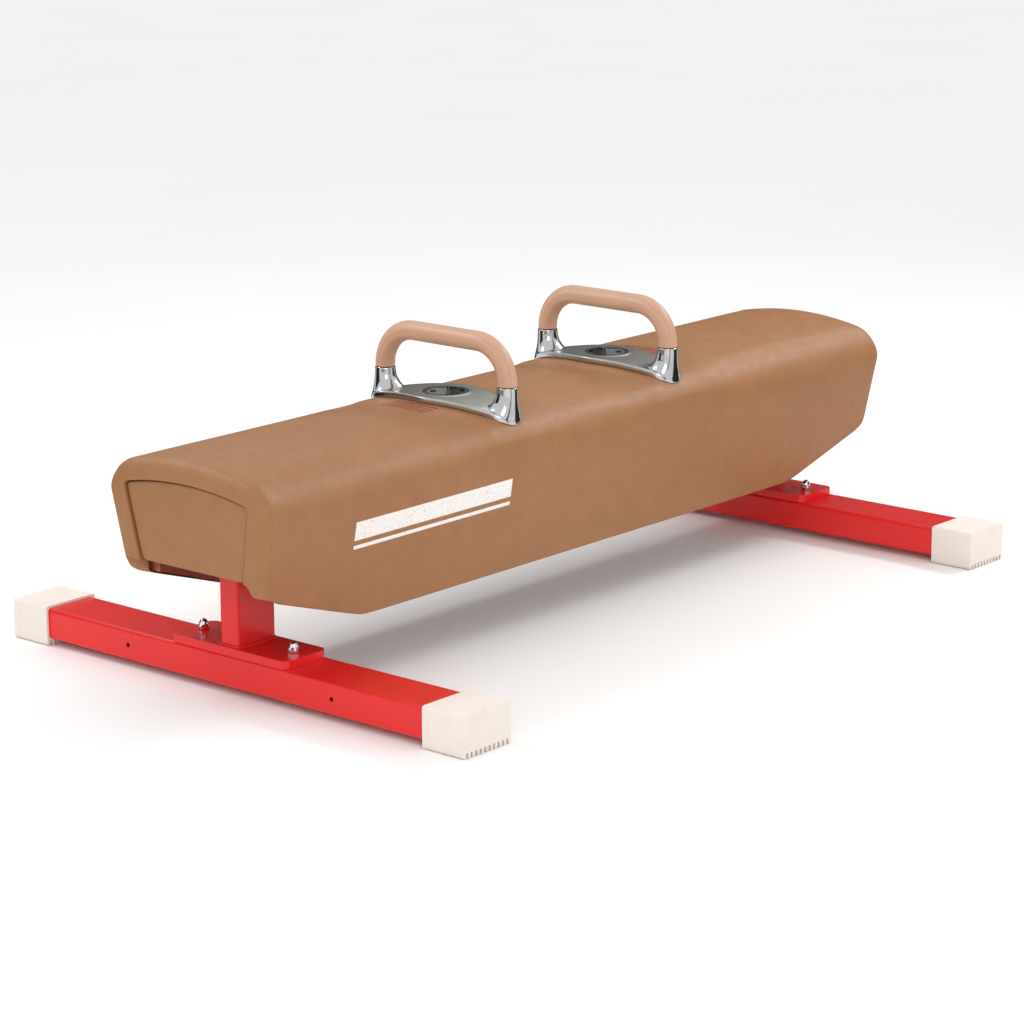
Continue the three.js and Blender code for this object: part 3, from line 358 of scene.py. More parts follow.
def make_looks():
    return {
        "leather": leather_look("tan_leather", True),
        "panel": leather_look("tan_panel_leather", False),
        "paint": paint_look(),
        "rubber": rubber_look(),
        "black": black_rubber_look(),
        "wood": wood_look("beech_grip", srgb(206, 168, 142), srgb(194, 150, 122), srgb(178, 126, 98),
                          "UV", (5, 260, 1), 0.36),
        "board": wood_look("stained_board", srgb(170, 98, 72), srgb(150, 82, 60), srgb(118, 62, 46),
                           "Object", (3, 60, 60), 0.55),
        "plating": metal_look("bright_plating", srgb(226, 228, 232), srgb(204, 206, 210), 0.06, 0.16),
        "steel": metal_look("plain_steel", srgb(150, 152, 155), srgb(122, 124, 126), 0.30, 0.48),
        "dark_steel": metal_look("dark_steel", srgb(96, 98, 98), srgb(58, 60, 60), 0.30, 0.50),
        "key": metal_look("grey_green_key", srgb(158, 170, 162), srgb(128, 140, 132), 0.30, 0.44),
        "casting": casting_look(),
    }


# ---------------------------------------------------------------- mesh helpers

WELD_DISTANCE = 1e-6
NODE_SHARP_ANGLE = 35  # degrees; edges bent more than this stay sharp, and are rounded


def linked(name, data):
    """A new object for the data, in the scene."""
    made = bpy.data.objects.new(name, data)
    bpy.context.scene.collection.objects.link(made)
    return made


def shade_smooth(mesh, sharp_angle=None):
    mesh.polygons.foreach_set("use_smooth", [True] * len(mesh.polygons))
    if sharp_angle:
        mesh.set_sharp_from_angle(angle=math.radians(sharp_angle))


def new_object(name, vertices, faces, look):
    mesh = bpy.data.meshes.new(name)
    mesh.from_pydata([tuple(v) for v in vertices], [], [tuple(f) for f in faces])
    mesh.validate()
    shade_smooth(mesh)
    mesh.materials.append(look)
    return linked(name, mesh)


@contextmanager
def editing(mesh):
    """The mesh as an editable copy, written back at the end."""
    work = bmesh.new()
    work.from_mesh(mesh)
    yield work
    work.to_mesh(mesh)
    work.free()


def outward(made):
    """Turns every face of a closed mesh to face out."""
    with editing(made.data) as work:
        bmesh.ops.remove_doubles(work, verts=work.verts, dist=WELD_DISTANCE)
        bmesh.ops.recalc_face_normals(work, faces=work.faces)
    return made


def turned(made, faces_in):
    """Turns an open sheet over when faces_in, asked with its faces, says that it looks inwards."""
    with editing(made.data) as work:
        bmesh.ops.recalc_face_normals(work, faces=work.faces)
        work.faces.ensure_lookup_table()
        if faces_in(work.faces):
            bmesh.ops.reverse_faces(work, faces=work.faces)


def grid_faces(rows, columns, closed=False):
    faces = []
    for row in range(rows - 1):
        for column in range(columns if closed else columns - 1):
            after = (column + 1) % columns
            faces.append((row * columns + column, row * columns + after,
                          (row + 1) * columns + after, (row + 1) * columns + column))
    return faces


def capped_faces(rows, around):
    """Faces of a tube of rings, with a flat cap on the first and the last ring."""
    last = (rows - 1) * around
    caps = [tuple(range(around)), tuple(range(last, last + around))]
    return grid_faces(rows, around, closed=True) + caps


def turns(count):
    """Evenly spaced angles of one full turn."""
    return [2 * math.pi * step / count for step in range(count)]


def keep_result(made):
    """Applies every modifier of made."""
    graph = bpy.context.evaluated_depsgraph_get()
    mesh = bpy.data.meshes.new_from_object(made.evaluated_get(graph))
    made.modifiers.clear()
    made.data = mesh


def smooth_finer(made):
    subdivide = made.modifiers.new("smooth", "SUBSURF")
    subdivide.levels = 1
    subdivide.render_levels = 1


def soften_edges(made, width):
    bevel = made.modifiers.new("edges", "BEVEL")
    bevel.width = width
    bevel.segments = 3
    bevel.limit_method = "ANGLE"
    bevel.angle_limit = math.radians(NODE_SHARP_ANGLE)


def finish_node(name, look, width):
    """Gives a CAD node its finish, smooth shading and softened edges."""
    made = NODES[name]
    made.data.materials.clear()
    made.data.materials.append(look)
    shade_smooth(made.data, NODE_SHARP_ANGLE)
    if width:
        soften_edges(made, width)


# ---------------------------------------------------------------- the body's form

def crown(y):
    return CROWN_Z - y * y / (2 * CROWN_RADIUS)


def section_point(share, bottom_z):
    """(y, z) on half a section: 0 at the hem, 1 and 2 below and above the shoulder, 3 at the top."""
    foot_y = HALF_WIDTH - SIDE_SHOULDER
    base_z = crown(HALF_WIDTH) - SHOULDER_DROP
    if share <= 1:
        z = bottom_z + (base_z - bottom_z) * share
        return HALF_WIDTH - SIDE_SLOPE * (REFERENCE_Z - z), z
    if share <= 2:
        angle = (share - 1) * math.pi / 2
        y = HALF_WIDTH - SIDE_SHOULDER * (1 - math.cos(angle))
        lean = SIDE_SLOPE * (REFERENCE_Z - base_z) * (2 - share) ** 2
        return y - lean, crown(y) - SHOULDER_DROP * (1 - math.sin(angle))
    y = foot_y * (3 - share)
    return y, crown(y)


def opening_half(z):
    return HALF_WIDTH - BORDER - SIDE_SLOPE * (REFERENCE_Z - z)


OPENING_TOP_HALF = opening_half(OPENING_ARCH_Z - opening_half(REFERENCE_Z) ** 2 / (2 * CROWN_RADIUS))


def opening_arch(y):
    return OPENING_ARCH_Z - y * y / (2 * CROWN_RADIUS)


def opening_point(share, inset=0.0):
    """(y, z) on half of the end opening, matched to section_point's shares and moved in by inset."""
    corner = OPENING_CORNER
    top_y = OPENING_TOP_HALF - inset
    top_z = opening_arch(top_y) - inset
    if share <= 1:
        z = OPENING_BOTTOM_Z + (top_z - corner - OPENING_BOTTOM_Z) * share
        return opening_half(z) - inset, z
    side_y = opening_half(top_z - corner) - inset
    if share <= 2:
        angle = (share - 1) * math.pi / 2
        y = side_y - corner * (1 - math.cos(angle))
        return y, opening_arch(y) - inset - corner * (1 - math.sin(angle))
    y = (side_y - corner) * (3 - share)
    return y, opening_arch(y) - inset


def shares():
    """Steps along the half section, denser round the shoulder."""
    return [*np.linspace(0, 1, 15)[:-1], *np.linspace(1, 2, 17)[:-1], *np.linspace(2, 3, 17)]


def blend(low, high, share):
    """How far above low share is, eased, with 1 at high."""
    part = min(max((share - low) / (high - low), 0), 1)
    return part * part * (3 - 2 * part)


def skirt_z(x, late=False):
    """Height of the skirt's lower edge at x from the middle; late leaves its last rise to the end."""
    start = HALF_LENGTH - PLAN_CORNER
    rise = (SKIRT_END_Z - SKIRT_Z) / (start - FLAT_BOTTOM_HALF)
    over = x - FLAT_BOTTOM_HALF
    ramp = (over + math.hypot(over, BEND_SOFTNESS)) / 2
    if x <= start:
        return SKIRT_Z + rise * ramp
    if late:
        return SKIRT_END_Z + rise * (x - start)
    part = min((x - start) / PLAN_CORNER, 1)
    lift = OPENING_BOTTOM_Z - SKIRT_END_Z
    return SKIRT_END_Z + lift * blend(*EARLY_RISE, part)


def end_steps():
    """(turn, border, fold) shares along the leather from the side to inside the opening."""
    turn = [(t, 0, 0) for t in np.linspace(0, 1, 9)]
    border = [(1, t, 0) for t in np.linspace(0, 1, 7)[1:]]
    return turn + border + [(1, 1, t) for t in FOLD_STEPS]


def end_point(share, step, late=False):
    """Where the leather runs at one end, as (x, y, z) on the +X, +Y quarter."""
    turn, border, fold = step
    top = blend(1, 2, share)
    reach = PLAN_CORNER + (END_SHOULDER - PLAN_CORNER) * top
    angle = turn * math.pi / 2
    bottom = skirt_z(HALF_LENGTH - PLAN_CORNER + PLAN_CORNER * math.sin(angle), late)
    outer = Vector(section_point(share, bottom))
    inner = Vector(opening_point(share))
    width = (inner - outer).length
    sink = min(PLAN_CORNER + (SHOULDER_DROP - PLAN_CORNER) * top, width - 2 * EDGE_ROUND)
    gone = sink * (1 - math.cos(angle)) + (width - EDGE_ROUND - sink) * border
    x = HALF_LENGTH - reach * (1 - math.sin(angle))
    if fold:
        bend = min(fold, 1) * math.pi / 2
        gone += EDGE_ROUND * math.sin(bend)
        x -= EDGE_ROUND * (1 - math.cos(bend)) + max(fold - 1, 0) * FOLD_DEPTH
    part = gone / width
    y, z = outer + (inner - outer) * part
    if share < 1:
        eased = blend(*LATE_RISE, part) if late else part
        z += (1 - share) * (eased - part) * (inner.y - outer.y)
    return Vector((x - END_SLOPE * (REFERENCE_Z - z), y, z))


def body_rows(near_late, far_late):
    """Rows of points on one side, from the near opening over the whole body to the far one."""
    half = shares()
    near, far = ([[end_point(s, step, late) for s in half] for step in end_steps()]
                 for late in (near_late, far_late))
    reaches = [end_point(share, (0, 0, 0)).x for share in half]
    middle = []
    for part in np.linspace(-1, 1, BODY_ROWS)[1:-1]:
        xs = [reach * part for reach in reaches]
        middle.append([Vector((x, *section_point(share, skirt_z(abs(x))))) for share, x in zip(half, xs)])
    near = [[Vector((-p.x, p.y, p.z)) for p in row] for row in reversed(near)]
    return near + middle + far


def full_row(front, back):
    """The front half row from its hem to the top, continued down the back half row."""
    return [Vector((p.x, -p.y, p.z)) for p in front] + back[-2::-1]


def hemmed(row, inward, front_width, back_width):
    """Adds the folded hem at both ends of a row; inward is the fold's direction at the front."""
    def fold(edge, way, width):
        return [edge + way * reach + Vector((0, 0, lift)) for reach, lift in ((width, HEM_LIFT), *HEM_ROUND)]
    mirrored = Vector((inward.x, -inward.y, 0))
    return fold(row[0], inward, front_width) + row + fold(row[-1], mirrored, back_width)[::-1]


def cover_points():
    """Rows of points over the whole cover, hems included; one corner at each end rises late."""
    rows = [full_row(*halves) for halves in zip(body_rows(True, False), body_rows(False, True))]
    steps = end_steps()
    count = len(rows)
    made = []
    for at, row in enumerate(rows):
        from_end = min(at, count - 1 - at)
        inward, late_width = Vector((0, 1, 0)), HEM_WIDTH
        if from_end < len(steps):
            turn = steps[len(steps) - 1 - from_end][0]
            angle = turn * math.pi / 2
            side = 1 if at < count / 2 else -1
            inward = Vector((side * math.sin(angle), math.cos(angle), 0))
            late_width = END_HEM_WIDTH
        elif from_end < len(steps) + HEM_TAPER:
            share = (from_end - len(steps) + 1) / (HEM_TAPER + 1)
            late_width = END_HEM_WIDTH + (HEM_WIDTH - END_HEM_WIDTH) * share
        widths = (late_width, HEM_WIDTH) if at < count / 2 else (HEM_WIDTH, late_width)
        made.append(hemmed(row, inward, *widths))
    return made


def pin_weight(point):
    """1 where the leather is fastened or lies under a pommel, 0 where it can swell."""
    aside = abs(abs(point.x) - POMMEL_X)
    held = 1 - blend(SADDLE_HALF_WIDTH, SADDLE_HALF_WIDTH + PINNED_POMMEL, aside)
    under = held * (point.z > PINNED_TOP_Z)
    hem = 1 - blend(*PINNED_HEM, point.z - skirt_z(min(abs(point.x), HALF_LENGTH)))
    free_x, fastened_x = (HALF_LENGTH - distance for distance in PINNED_END)
    end = blend(free_x, fastened_x, abs(point.x) + END_SLOPE * (REFERENCE_Z - point.z))
    return max(under, hem, end)


def swell(made, weights, shrink, cap):
    """Cloth under pressure over the padding: pinned where it is fastened, each point's travel capped."""
    mesh = made.data
    count = len(mesh.vertices)
    start = np.empty(count * 3)
    normals = np.empty(count * 3)
    mesh.vertices.foreach_get("co", start)
    mesh.vertex_normals.foreach_get("vector", normals)
    start, normals = start.reshape(-1, 3), normals.reshape(-1, 3)
    free = (1 - np.array(weights))[:, None]
    begin = start - normals * free * shrink
    mesh.vertices.foreach_set("co", begin.ravel())
    mesh.update()
    travel = simulated(made, weights) - begin
    size = np.linalg.norm(travel, axis=1, keepdims=True)
    kept = travel * (cap * np.tanh(size / cap) / np.maximum(size, 1e-9))
    mesh.vertices.foreach_set("co", (begin + kept).ravel())
    mesh.update()


def simulated(made, weights):
    """Point positions after a short cloth simulation of made."""
    group = made.vertex_groups.new(name="fastened")
    for index, weight in enumerate(weights):
        group.add([index], float(weight), "REPLACE")
    cloth = made.modifiers.new("cloth", "CLOTH")
    cloth.settings.vertex_group_mass = group.name
    cloth.settings.use_pressure = True
    cloth.settings.uniform_pressure_force = CLOTH_PRESSURE
    cloth.settings.effector_weights.gravity = 0.0
    cloth.settings.tension_stiffness = CLOTH_STIFFNESS
    cloth.settings.compression_stiffness = CLOTH_STIFFNESS
    cloth.settings.bending_stiffness = CLOTH_BENDING
    scene = bpy.context.scene
    for at in range(1, CLOTH_FRAMES + 1):
        scene.frame_set(at)
    graph = bpy.context.evaluated_depsgraph_get()
    result = made.evaluated_get(graph).to_mesh()
    points = np.empty(len(result.vertices) * 3)
    result.vertices.foreach_get("co", points)
    made.evaluated_get(graph).to_mesh_clear()
    made.modifiers.remove(cloth)
    made.vertex_groups.remove(group)
    scene.frame_set(1)
    return points.reshape(-1, 3)


def thicken_and_smooth(made, thickness):
    shell = made.modifiers.new("thickness", "SOLIDIFY")
    shell.thickness = thickness
    shell.offset = -1
    smooth_finer(made)
    keep_result(made)


def leather_body(look):
    rows = cover_points()
    columns = len(rows[0])
    points = [p for row in rows for p in row]
    made = new_object("leather_body", points, grid_faces(len(rows), columns), look)
    turned(made, lambda faces: max(faces, key=lambda face: face.calc_center_median().z).normal.z < 0)
    swell(made, [pin_weight(p) for p in points], COVER_SHRINK, COVER_TRAVEL)
    thicken_and_smooth(made, COVER_THICKNESS)
    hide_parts("leather_cover", "foam_pad")
    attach(made, "horse")


# ---------------------------------------------------------------- end panels

PANEL_GAP = 0.0018
PANEL_RECESS = 0.0045
PANEL_CROWN = 0.0022
# (depth, inset) of the outlines from the turned-in back edge to the front's rim
PANEL_RINGS = ((0.010, 0.0), (0.004, 0.0), (0.0022, 0.0004), (0.0009, 0.0013), (0.0, 0.0032))
PANEL_THICKNESS = 0.0012
PANEL_SHRINK = 0.0008
PANEL_TRAVEL = 0.0014


def panel_outline(inset):
    """Closed outline of a panel as (y, z), from the front bottom corner over the top to the back."""
    half = [opening_point(s, PANEL_GAP + inset) for s in shares()[::2]]
    half[0] = (half[0][0], half[0][1] + inset)
    front = [(-y, z) for y, z in half]
    loop = front + [(y, z) for y, z in half[-2::-1]]
    low_y, low_z = loop[-1]
    bottom = [(low_y * (1 - 2 * t), low_z) for t in np.linspace(0, 1, 17)[1:-1]]
    return loop + bottom


def end_panel(end, look):
    """Leather over a thin pad on a board: rounded edges, turned in at the back, slightly crowned."""
    direction = ENDS[end]
    centre_z = (OPENING_BOTTOM_Z + OPENING_ARCH_Z) / 2
    rings = []
    for depth, inset in PANEL_RINGS:
        rim = panel_outline(inset)
        rings.append([(depth, y, z) for y, z in rim])
    for kept in np.linspace(1, 0, 13)[1:]:
        rise = PANEL_CROWN * (1 - kept ** 3)
        rings.append([(-rise, y * kept, centre_z + (z - centre_z) * kept) for y, z in rim])
    points = []
    for ring in rings:
        for depth, y, z in ring:
            x = HALF_LENGTH - PANEL_RECESS - depth - END_SLOPE * (REFERENCE_Z - z)
            points.append((direction * x, y, z))
    columns = len(rings[0])
    made = new_object(f"{end}_panel_leather", points, grid_faces(len(rings), columns, closed=True), look)
    weights = [1.0 if at < len(PANEL_RINGS) * columns else 0.0 for at in range(len(points))]
    turned(made, lambda faces: sum(face.normal.x * face.calc_area() for face in faces) * direction < 0)
    swell(made, weights, PANEL_SHRINK, PANEL_TRAVEL)
    thicken_and_smooth(made, PANEL_THICKNESS)
    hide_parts(f"{end}_end_panel")
    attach(made, "horse")


# ---------------------------------------------------------------- grips

GRIP_BEND = 0.063
GRIP_AROUND = 40
GRIP_LIFT = 0.0003  # the wood stops this far above its socket
GRIP_END_INSET = 0.0006  # how much narrower its ends are
GRAIN_WIDTH = 0.05


def grip_line():
    """Points (y, z) along the centre of a grip, from the front socket to the back one."""
    straight_y = GRIP_HALF_SPAN - GRIP_BEND
    bend_z = GRIP_CENTRE_Z - GRIP_BEND
    leg = [(-GRIP_HALF_SPAN, z) for z in np.linspace(COLLAR_Z + GRIP_LIFT, bend_z, 4)[:-1]]
    bend = [(-straight_y - GRIP_BEND * math.cos(a), bend_z + GRIP_BEND * math.sin(a))
            for a in np.linspace(0, math.pi / 2, 25)]
    top = [(y, GRIP_CENTRE_Z) for y in np.linspace(-straight_y, 0, 12)[1:]]
    half = leg + bend + top
    return half + [(-y, z) for y, z in half[-2::-1]]


def grip(end, look):
    line = grip_line()
    centre_x = ENDS[end] * POMMEL_X
    points, lengths, gone = [], [], 0.0
    for at, (y, z) in enumerate(line):
        before = line[max(at - 1, 0)]
        after = line[min(at + 1, len(line) - 1)]
        along = Vector((0, after[0] - before[0], after[1] - before[1])).normalized()
        out = Vector((1, 0, 0)).cross(along)
        gone += math.hypot(y - before[0], z - before[1])
        lengths.append(gone)
        radius = GRIP_RADIUS - (GRIP_END_INSET if at in (0, len(line) - 1) else 0)
        for angle in turns(GRIP_AROUND):
            offset = Vector((math.cos(angle), 0, 0)) + out * math.sin(angle)
            points.append(Vector((centre_x, y, z)) + offset * radius)
    made = new_object(f"{end}_wooden_grip", points, capped_faces(len(line), GRIP_AROUND), look)
    strip_coordinates(made, lengths)
    outward(made)
    smooth_finer(made)
    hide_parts(f"{end}_grip")
    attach(made, f"{end}_pommel")


def strip_coordinates(made, lengths):
    """UVs that run along the bent wood, so that its grain follows the bend."""
    layer = made.data.uv_layers.new(name="grain")
    for polygon in made.data.polygons:
        for corner in polygon.loop_indices:
            vertex = made.data.loops[corner].vertex_index
            angle = (vertex % GRIP_AROUND) / GRIP_AROUND
            around = abs(angle - 0.5) * 2
            layer.data[corner].uv = (lengths[vertex // GRIP_AROUND], around * GRAIN_WIDTH)


# ---------------------------------------------------------------- saddles

FOOT_RADIUS = 0.036
FOOT_Y = SADDLE_HALF_LENGTH - FOOT_RADIUS
PLATE_UNDER = 0.0003
PLATE_THICKNESS = 0.0098
SOCKET_RADIUS = 0.0172
SOCKET_AROUND = 56
FLARE = 2.6  # how quickly a socket widens towards its foot
FLARE_Z = 0.371
FLARE_SINK = 0.009
FOOT_MARGIN = 0.0008
LENS_RADIUS = 0.075
OUTLINE_POINTS = 120
RECESS_RADIUS = 0.038
RECESS_WALL = 0.004
RECESS_FLOOR_Z = 0.3864
BOSS_Z = (0.378, 0.3922)
SCREW_HOLE_RADIUS = 0.0073
HOLE_Z = (0.360, 0.400)
ABOVE_BOSS_Z = 0.410
VOXEL, QUICK_VOXEL = 0.0011, 0.0018
CASTING_SMOOTHING = 7  # passes
CASTING_SHARP_ANGLE = 40
PLATE_RIM = ((1.0, 0.3), (1.0, 0.65), (0.996, 0.86), (0.982, 1.0))  # (size, height) of the rounded rim


def seat_z(y):
    """Height of the leather under a pommel."""
    y = abs(y)
    edge = HALF_WIDTH - SIDE_SHOULDER
    if y <= edge:
        return crown(y)
    share = min((y - edge) / SIDE_SHOULDER, 1)
    return crown(y) - SHOULDER_DROP * (1 - math.sqrt(1 - share * share))


def saddle_outline():
    """A lens with rounded tips, as evenly spaced (x, y) points."""
    lean = math.atan2(SADDLE_HALF_WIDTH - FOOT_RADIUS, FOOT_Y)
    centre = SADDLE_HALF_WIDTH - LENS_RADIUS
    arcs = ((-lean, lean, 13, centre, 0, LENS_RADIUS),
            (lean, math.pi - lean, 31, 0, FOOT_Y, FOOT_RADIUS),
            (math.pi - lean, math.pi + lean, 13, -centre, 0, LENS_RADIUS),
            (math.pi + lean, 2 * math.pi - lean, 31, 0, -FOOT_Y, FOOT_RADIUS))
    points = [(x + radius * math.cos(a), y + radius * math.sin(a))
              for start, stop, count, x, y, radius in arcs for a in np.linspace(start, stop, count)]
    return evenly(points, OUTLINE_POINTS)


def evenly(points, count):
    """The closed outline redrawn with count evenly spaced points."""
    loop = np.array(points + points[:1])
    gone = np.concatenate([[0], np.cumsum(np.linalg.norm(np.diff(loop, axis=0), axis=1))])
    at = np.linspace(0, gone[-1], count, endpoint=False)
    return list(zip(np.interp(at, gone, loop[:, 0]), np.interp(at, gone, loop[:, 1])))


def plate_mesh(look):
    """The saddle's plate, from the middle of its underside over the rim to the middle of its top."""
    outline = saddle_outline()
    levels = [(kept, 0.0) for kept in np.linspace(0.02, 1, 26)]
    levels += [*PLATE_RIM, *((kept, 1.0) for kept in np.linspace(0.95, 0.02, 25))]
    points = [(x * kept, y * kept, seat_z(y * kept) + PLATE_UNDER + PLATE_THICKNESS * lift)
              for kept, lift in levels for x, y in outline]
    return outward(new_object("plate", points, capped_faces(len(levels), len(outline)), look))


def socket_mesh(side, look):
    """A round socket that flares down into the tip of the saddle; side is -1 in front, 1 behind."""
    points = []
    base_radius = FOOT_RADIUS - FOOT_MARGIN
    heights = [(FLARE_Z - FLARE_SINK, 0.0)] + [(FLARE_Z, t) for t in np.linspace(0, 1, 26)]
    for base, share in heights:
        z = base + (COLLAR_Z - FLARE_Z) * share
        wide = (1 - share) ** FLARE
        radius = SOCKET_RADIUS + (base_radius - SOCKET_RADIUS) * wide
        y = side * (GRIP_HALF_SPAN - (GRIP_HALF_SPAN - FOOT_Y) * wide)
        points += [(radius * math.cos(a), y + radius * math.sin(a), z) for a in turns(SOCKET_AROUND)]
    return outward(new_object("socket", points, capped_faces(len(heights), SOCKET_AROUND), look))


def disc_mesh(radius, low, high, look, around=96):
    points = [(radius * math.cos(a), radius * math.sin(a), z) for z in (low, high) for a in turns(around)]
    return outward(new_object("disc", points, capped_faces(2, around), look))


def join_as(name, parts):
    """Puts several objects' meshes into one new object and removes them."""
    mesh = bpy.data.meshes.new(name)
    with editing(mesh) as work:
        for part in parts:
            work.from_mesh(part.data)
            bpy.data.objects.remove(part)
    return linked(name, mesh)


def cut_with(made, cutter):
    step = made.modifiers.new("cut", "BOOLEAN")
    step.operation = "DIFFERENCE"
    step.solver = "EXACT"
    step.object = cutter
    keep_result(made)
    bpy.data.objects.remove(cutter)


def cast_saddle(look):
    """Plate, boss and both sockets fused into one casting, then recessed for the clamp's head."""
    boss = disc_mesh(RECESS_RADIUS + RECESS_WALL, *BOSS_Z, look)
    parts = [plate_mesh(look), socket_mesh(-1, look), socket_mesh(1, look), boss]
    made = join_as("casting", parts)
    remesh = made.modifiers.new("fuse", "REMESH")
    remesh.mode = "VOXEL"
    remesh.voxel_size = VOXEL
    smooth = made.modifiers.new("smooth", "SMOOTH")
    smooth.factor = 0.5
    smooth.iterations = CASTING_SMOOTHING
    keep_result(made)
    cut_with(made, disc_mesh(RECESS_RADIUS, RECESS_FLOOR_Z, ABOVE_BOSS_Z, look))
    cut_with(made, disc_mesh(SCREW_HOLE_RADIUS, *HOLE_Z, look, 32))
    shade_smooth(made.data, CASTING_SHARP_ANGLE)
    made.data.materials.clear()
    made.data.materials.append(look)
    return made


def place_saddles(look):
    casting = cast_saddle(look)
    mesh = casting.data
    bpy.data.objects.remove(casting)
    for end, direction in ENDS.items():
        own = mesh.copy()
        own.transform(Matrix.Translation((direction * POMMEL_X, 0, 0)))
        made = linked(f"{end}_cast_saddle", own)
        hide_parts(f"{end}_saddle")
        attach(made, f"{end}_pommel")


# ---------------------------------------------------------------- nuts and welds

NUT_AROUND = 48
NUT_SHARP_ANGLE = 38
HEXAGON_HEIGHT = 0.009
HEXAGON_CHAMFERS = (0.0007, 0.0011)  # heights of the lower and the upper one
CHAMFER_CIRCLES = (0.93 * 1.06, 0.86 * 1.06)  # their circles, as parts of the nut's half width
DOME_WIDTH = 0.93  # the dome's radius is at most this part of the nut's half width
DOME_MARGIN = 0.02

BEAD_CORNER = 0.004
BEAD_POINTS = 360
BEAD_AROUND = 8
BEAD_LIFT = 0.0006
BEAD_RADIUS = 0.0030
BEAD_FLATNESS = 0.8
BEAD_RIPPLES = ((0.0007, 0.31), (0.0003, 0.083))  # (height, turn per point) of short and long waves


def domed_nut(name, look):
    """Chamfered hexagon with a polished dome."""
    low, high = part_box(name)
    x, y = (low.x + high.x) / 2, (low.y + high.y) / 2
    flats = min(high.x - low.x, high.y - low.y) / 2
    hexagon_top = low.z + HEXAGON_HEIGHT
    rise = high.z - hexagon_top
    dome = min(flats * DOME_WIDTH, rise + flats * DOME_MARGIN)

    def hexagon(angle):
        return flats / math.cos((angle + math.pi / 6) % (math.pi / 3) - math.pi / 6)

    low_circle, high_circle = (flats * size for size in CHAMFER_CIRCLES)
    rings = [(low.z, lambda angle: low_circle),
             (low.z + HEXAGON_CHAMFERS[0], hexagon),
             (hexagon_top - HEXAGON_CHAMFERS[1], hexagon),
             (hexagon_top, lambda angle: high_circle)]
    for bend in np.linspace(0, math.pi / 2, 13)[:-1]:
        rings.append((hexagon_top + rise * math.sin(bend), lambda angle, bend=bend: dome * math.cos(bend)))
    points = [(x + reach(a) * math.cos(a), y + reach(a) * math.sin(a), z)
              for z, reach in rings for a in turns(NUT_AROUND)]
    faces = capped_faces(len(rings), NUT_AROUND)
    made = outward(new_object(f"{name}_polished", points, faces, look))
    made.data.set_sharp_from_angle(angle=math.radians(NUT_SHARP_ANGLE))
    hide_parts(name)
    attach(made, "horse")


def weld_bead(end, look):
    """Rippled fillet round the foot of a column."""
    low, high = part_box(f"{end}_column")
    plate_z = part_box(f"{end}_foot_plate")[1].z
    half_x, half_y = (high.x - low.x) / 2, (high.y - low.y) / 2
    centre_x, centre_y = (high.x + low.x) / 2, (high.y + low.y) / 2
    side_x, side_y = half_x - BEAD_CORNER, half_y - BEAD_CORNER
    corners = ((side_x, side_y), (-side_x, side_y), (-side_x, -side_y), (side_x, -side_y))
    loop = []
    for quarter, (x, y) in enumerate(corners):
        for t in np.linspace(0, math.pi / 2, 7):
            a = quarter * math.pi / 2 + t
            loop.append((x + BEAD_CORNER * math.cos(a), y + BEAD_CORNER * math.sin(a)))
    path = evenly(loop, BEAD_POINTS)
    (short, short_turn), (long, long_turn) = BEAD_RIPPLES
    points = []
    for at, (x, y) in enumerate(path):
        next_x, next_y = path[(at + 1) % BEAD_POINTS]
        along = Vector((next_x - x, next_y - y, 0)).normalized()
        out = Vector((along.y, -along.x, 0))
        ripple = BEAD_RADIUS + short * abs(math.sin(at * short_turn)) + long * math.sin(at * long_turn)
        middle = Vector((centre_x + x, centre_y + y, plate_z + BEAD_LIFT))
        up = Vector((0, 0, ripple * BEAD_FLATNESS))
        points += [middle + out * (ripple * math.cos(a)) + up * math.sin(a) for a in turns(BEAD_AROUND)]
    faces = grid_faces(BEAD_POINTS, BEAD_AROUND, closed=True)
    last = (BEAD_POINTS - 1) * BEAD_AROUND
    for step in range(BEAD_AROUND):
        after = (step + 1) % BEAD_AROUND
        faces.append((last + step, last + after, after, step))
    made = outward(new_object(f"{end}_column_weld", points, faces, look))
    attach(made, "horse")


# ---------------------------------------------------------------- finishes on the CAD nodes

# node names, the look they get and how wide their edges are rounded
NODE_FINISHES = (
    (("{end}_beam", "{end}_column"), "paint", 0.0008),
    (("{end}_foot_plate",), "paint", 0.0012),
    (("{end}_head_plate",), "paint", 0.001),
    (("{end}_{side}_rubber_foot",), "rubber", 0.0012),
    (("{end}_{side}_base_bolt",), "plating", 0.0004),
    (("{end}_{side}_head_bolt",), "steel", 0.0004),
    (("{end}_{side}_grip_screw",), "steel", 0.0003),
    (("{end}_underlay",), "black", 0),
    (("{end}_clamp_plate",), "steel", 0.0006),
    (("{end}_clamp_screw",), "dark_steel", 0.0002),
    (("{end}_clamp_key",), "key", 0.0003),
    (("{end}_key_pin", "{end}_slot_liner"), "steel", 0),
    (("{side}_rail",), "steel", 0.0005),
    (("{end}_end_board",), "board", 0.0008),
    (("{side}_side_board", "top_board"), "board", 0),
)


def finish_cad_nodes(looks):
    """Finishes every node that no Blender piece replaces."""
    for names, look, width in NODE_FINISHES:
        for name in names:
            ends = ENDS if "{end}" in name else ("",)
            sides = SIDES if "{side}" in name else ("",)
            for end in ends:
                for side in sides:
                    finish_node(name.format(end=end, side=side), looks[look], width)


# ---------------------------------------------------------------- floor, light and camera

FLOOR_HALF = 30.0
FLOOR_Z = -0.0004  # just below the feet
WORLD_STRENGTH = 0.94
AIM = (0, 0, 0.3)
CARD_TONES = (1.2, 0.8)  # a card varies between these parts of its tone

CAMERA_ANGLES = (-49.515, 14.297, -0.216)  # azimuth, elevation and roll in degrees
CAMERA_PLACE = (-3.9833, -3.3629, 1.4763)
CAMERA_LENS = 111.83
SENSOR_WIDTH = 36


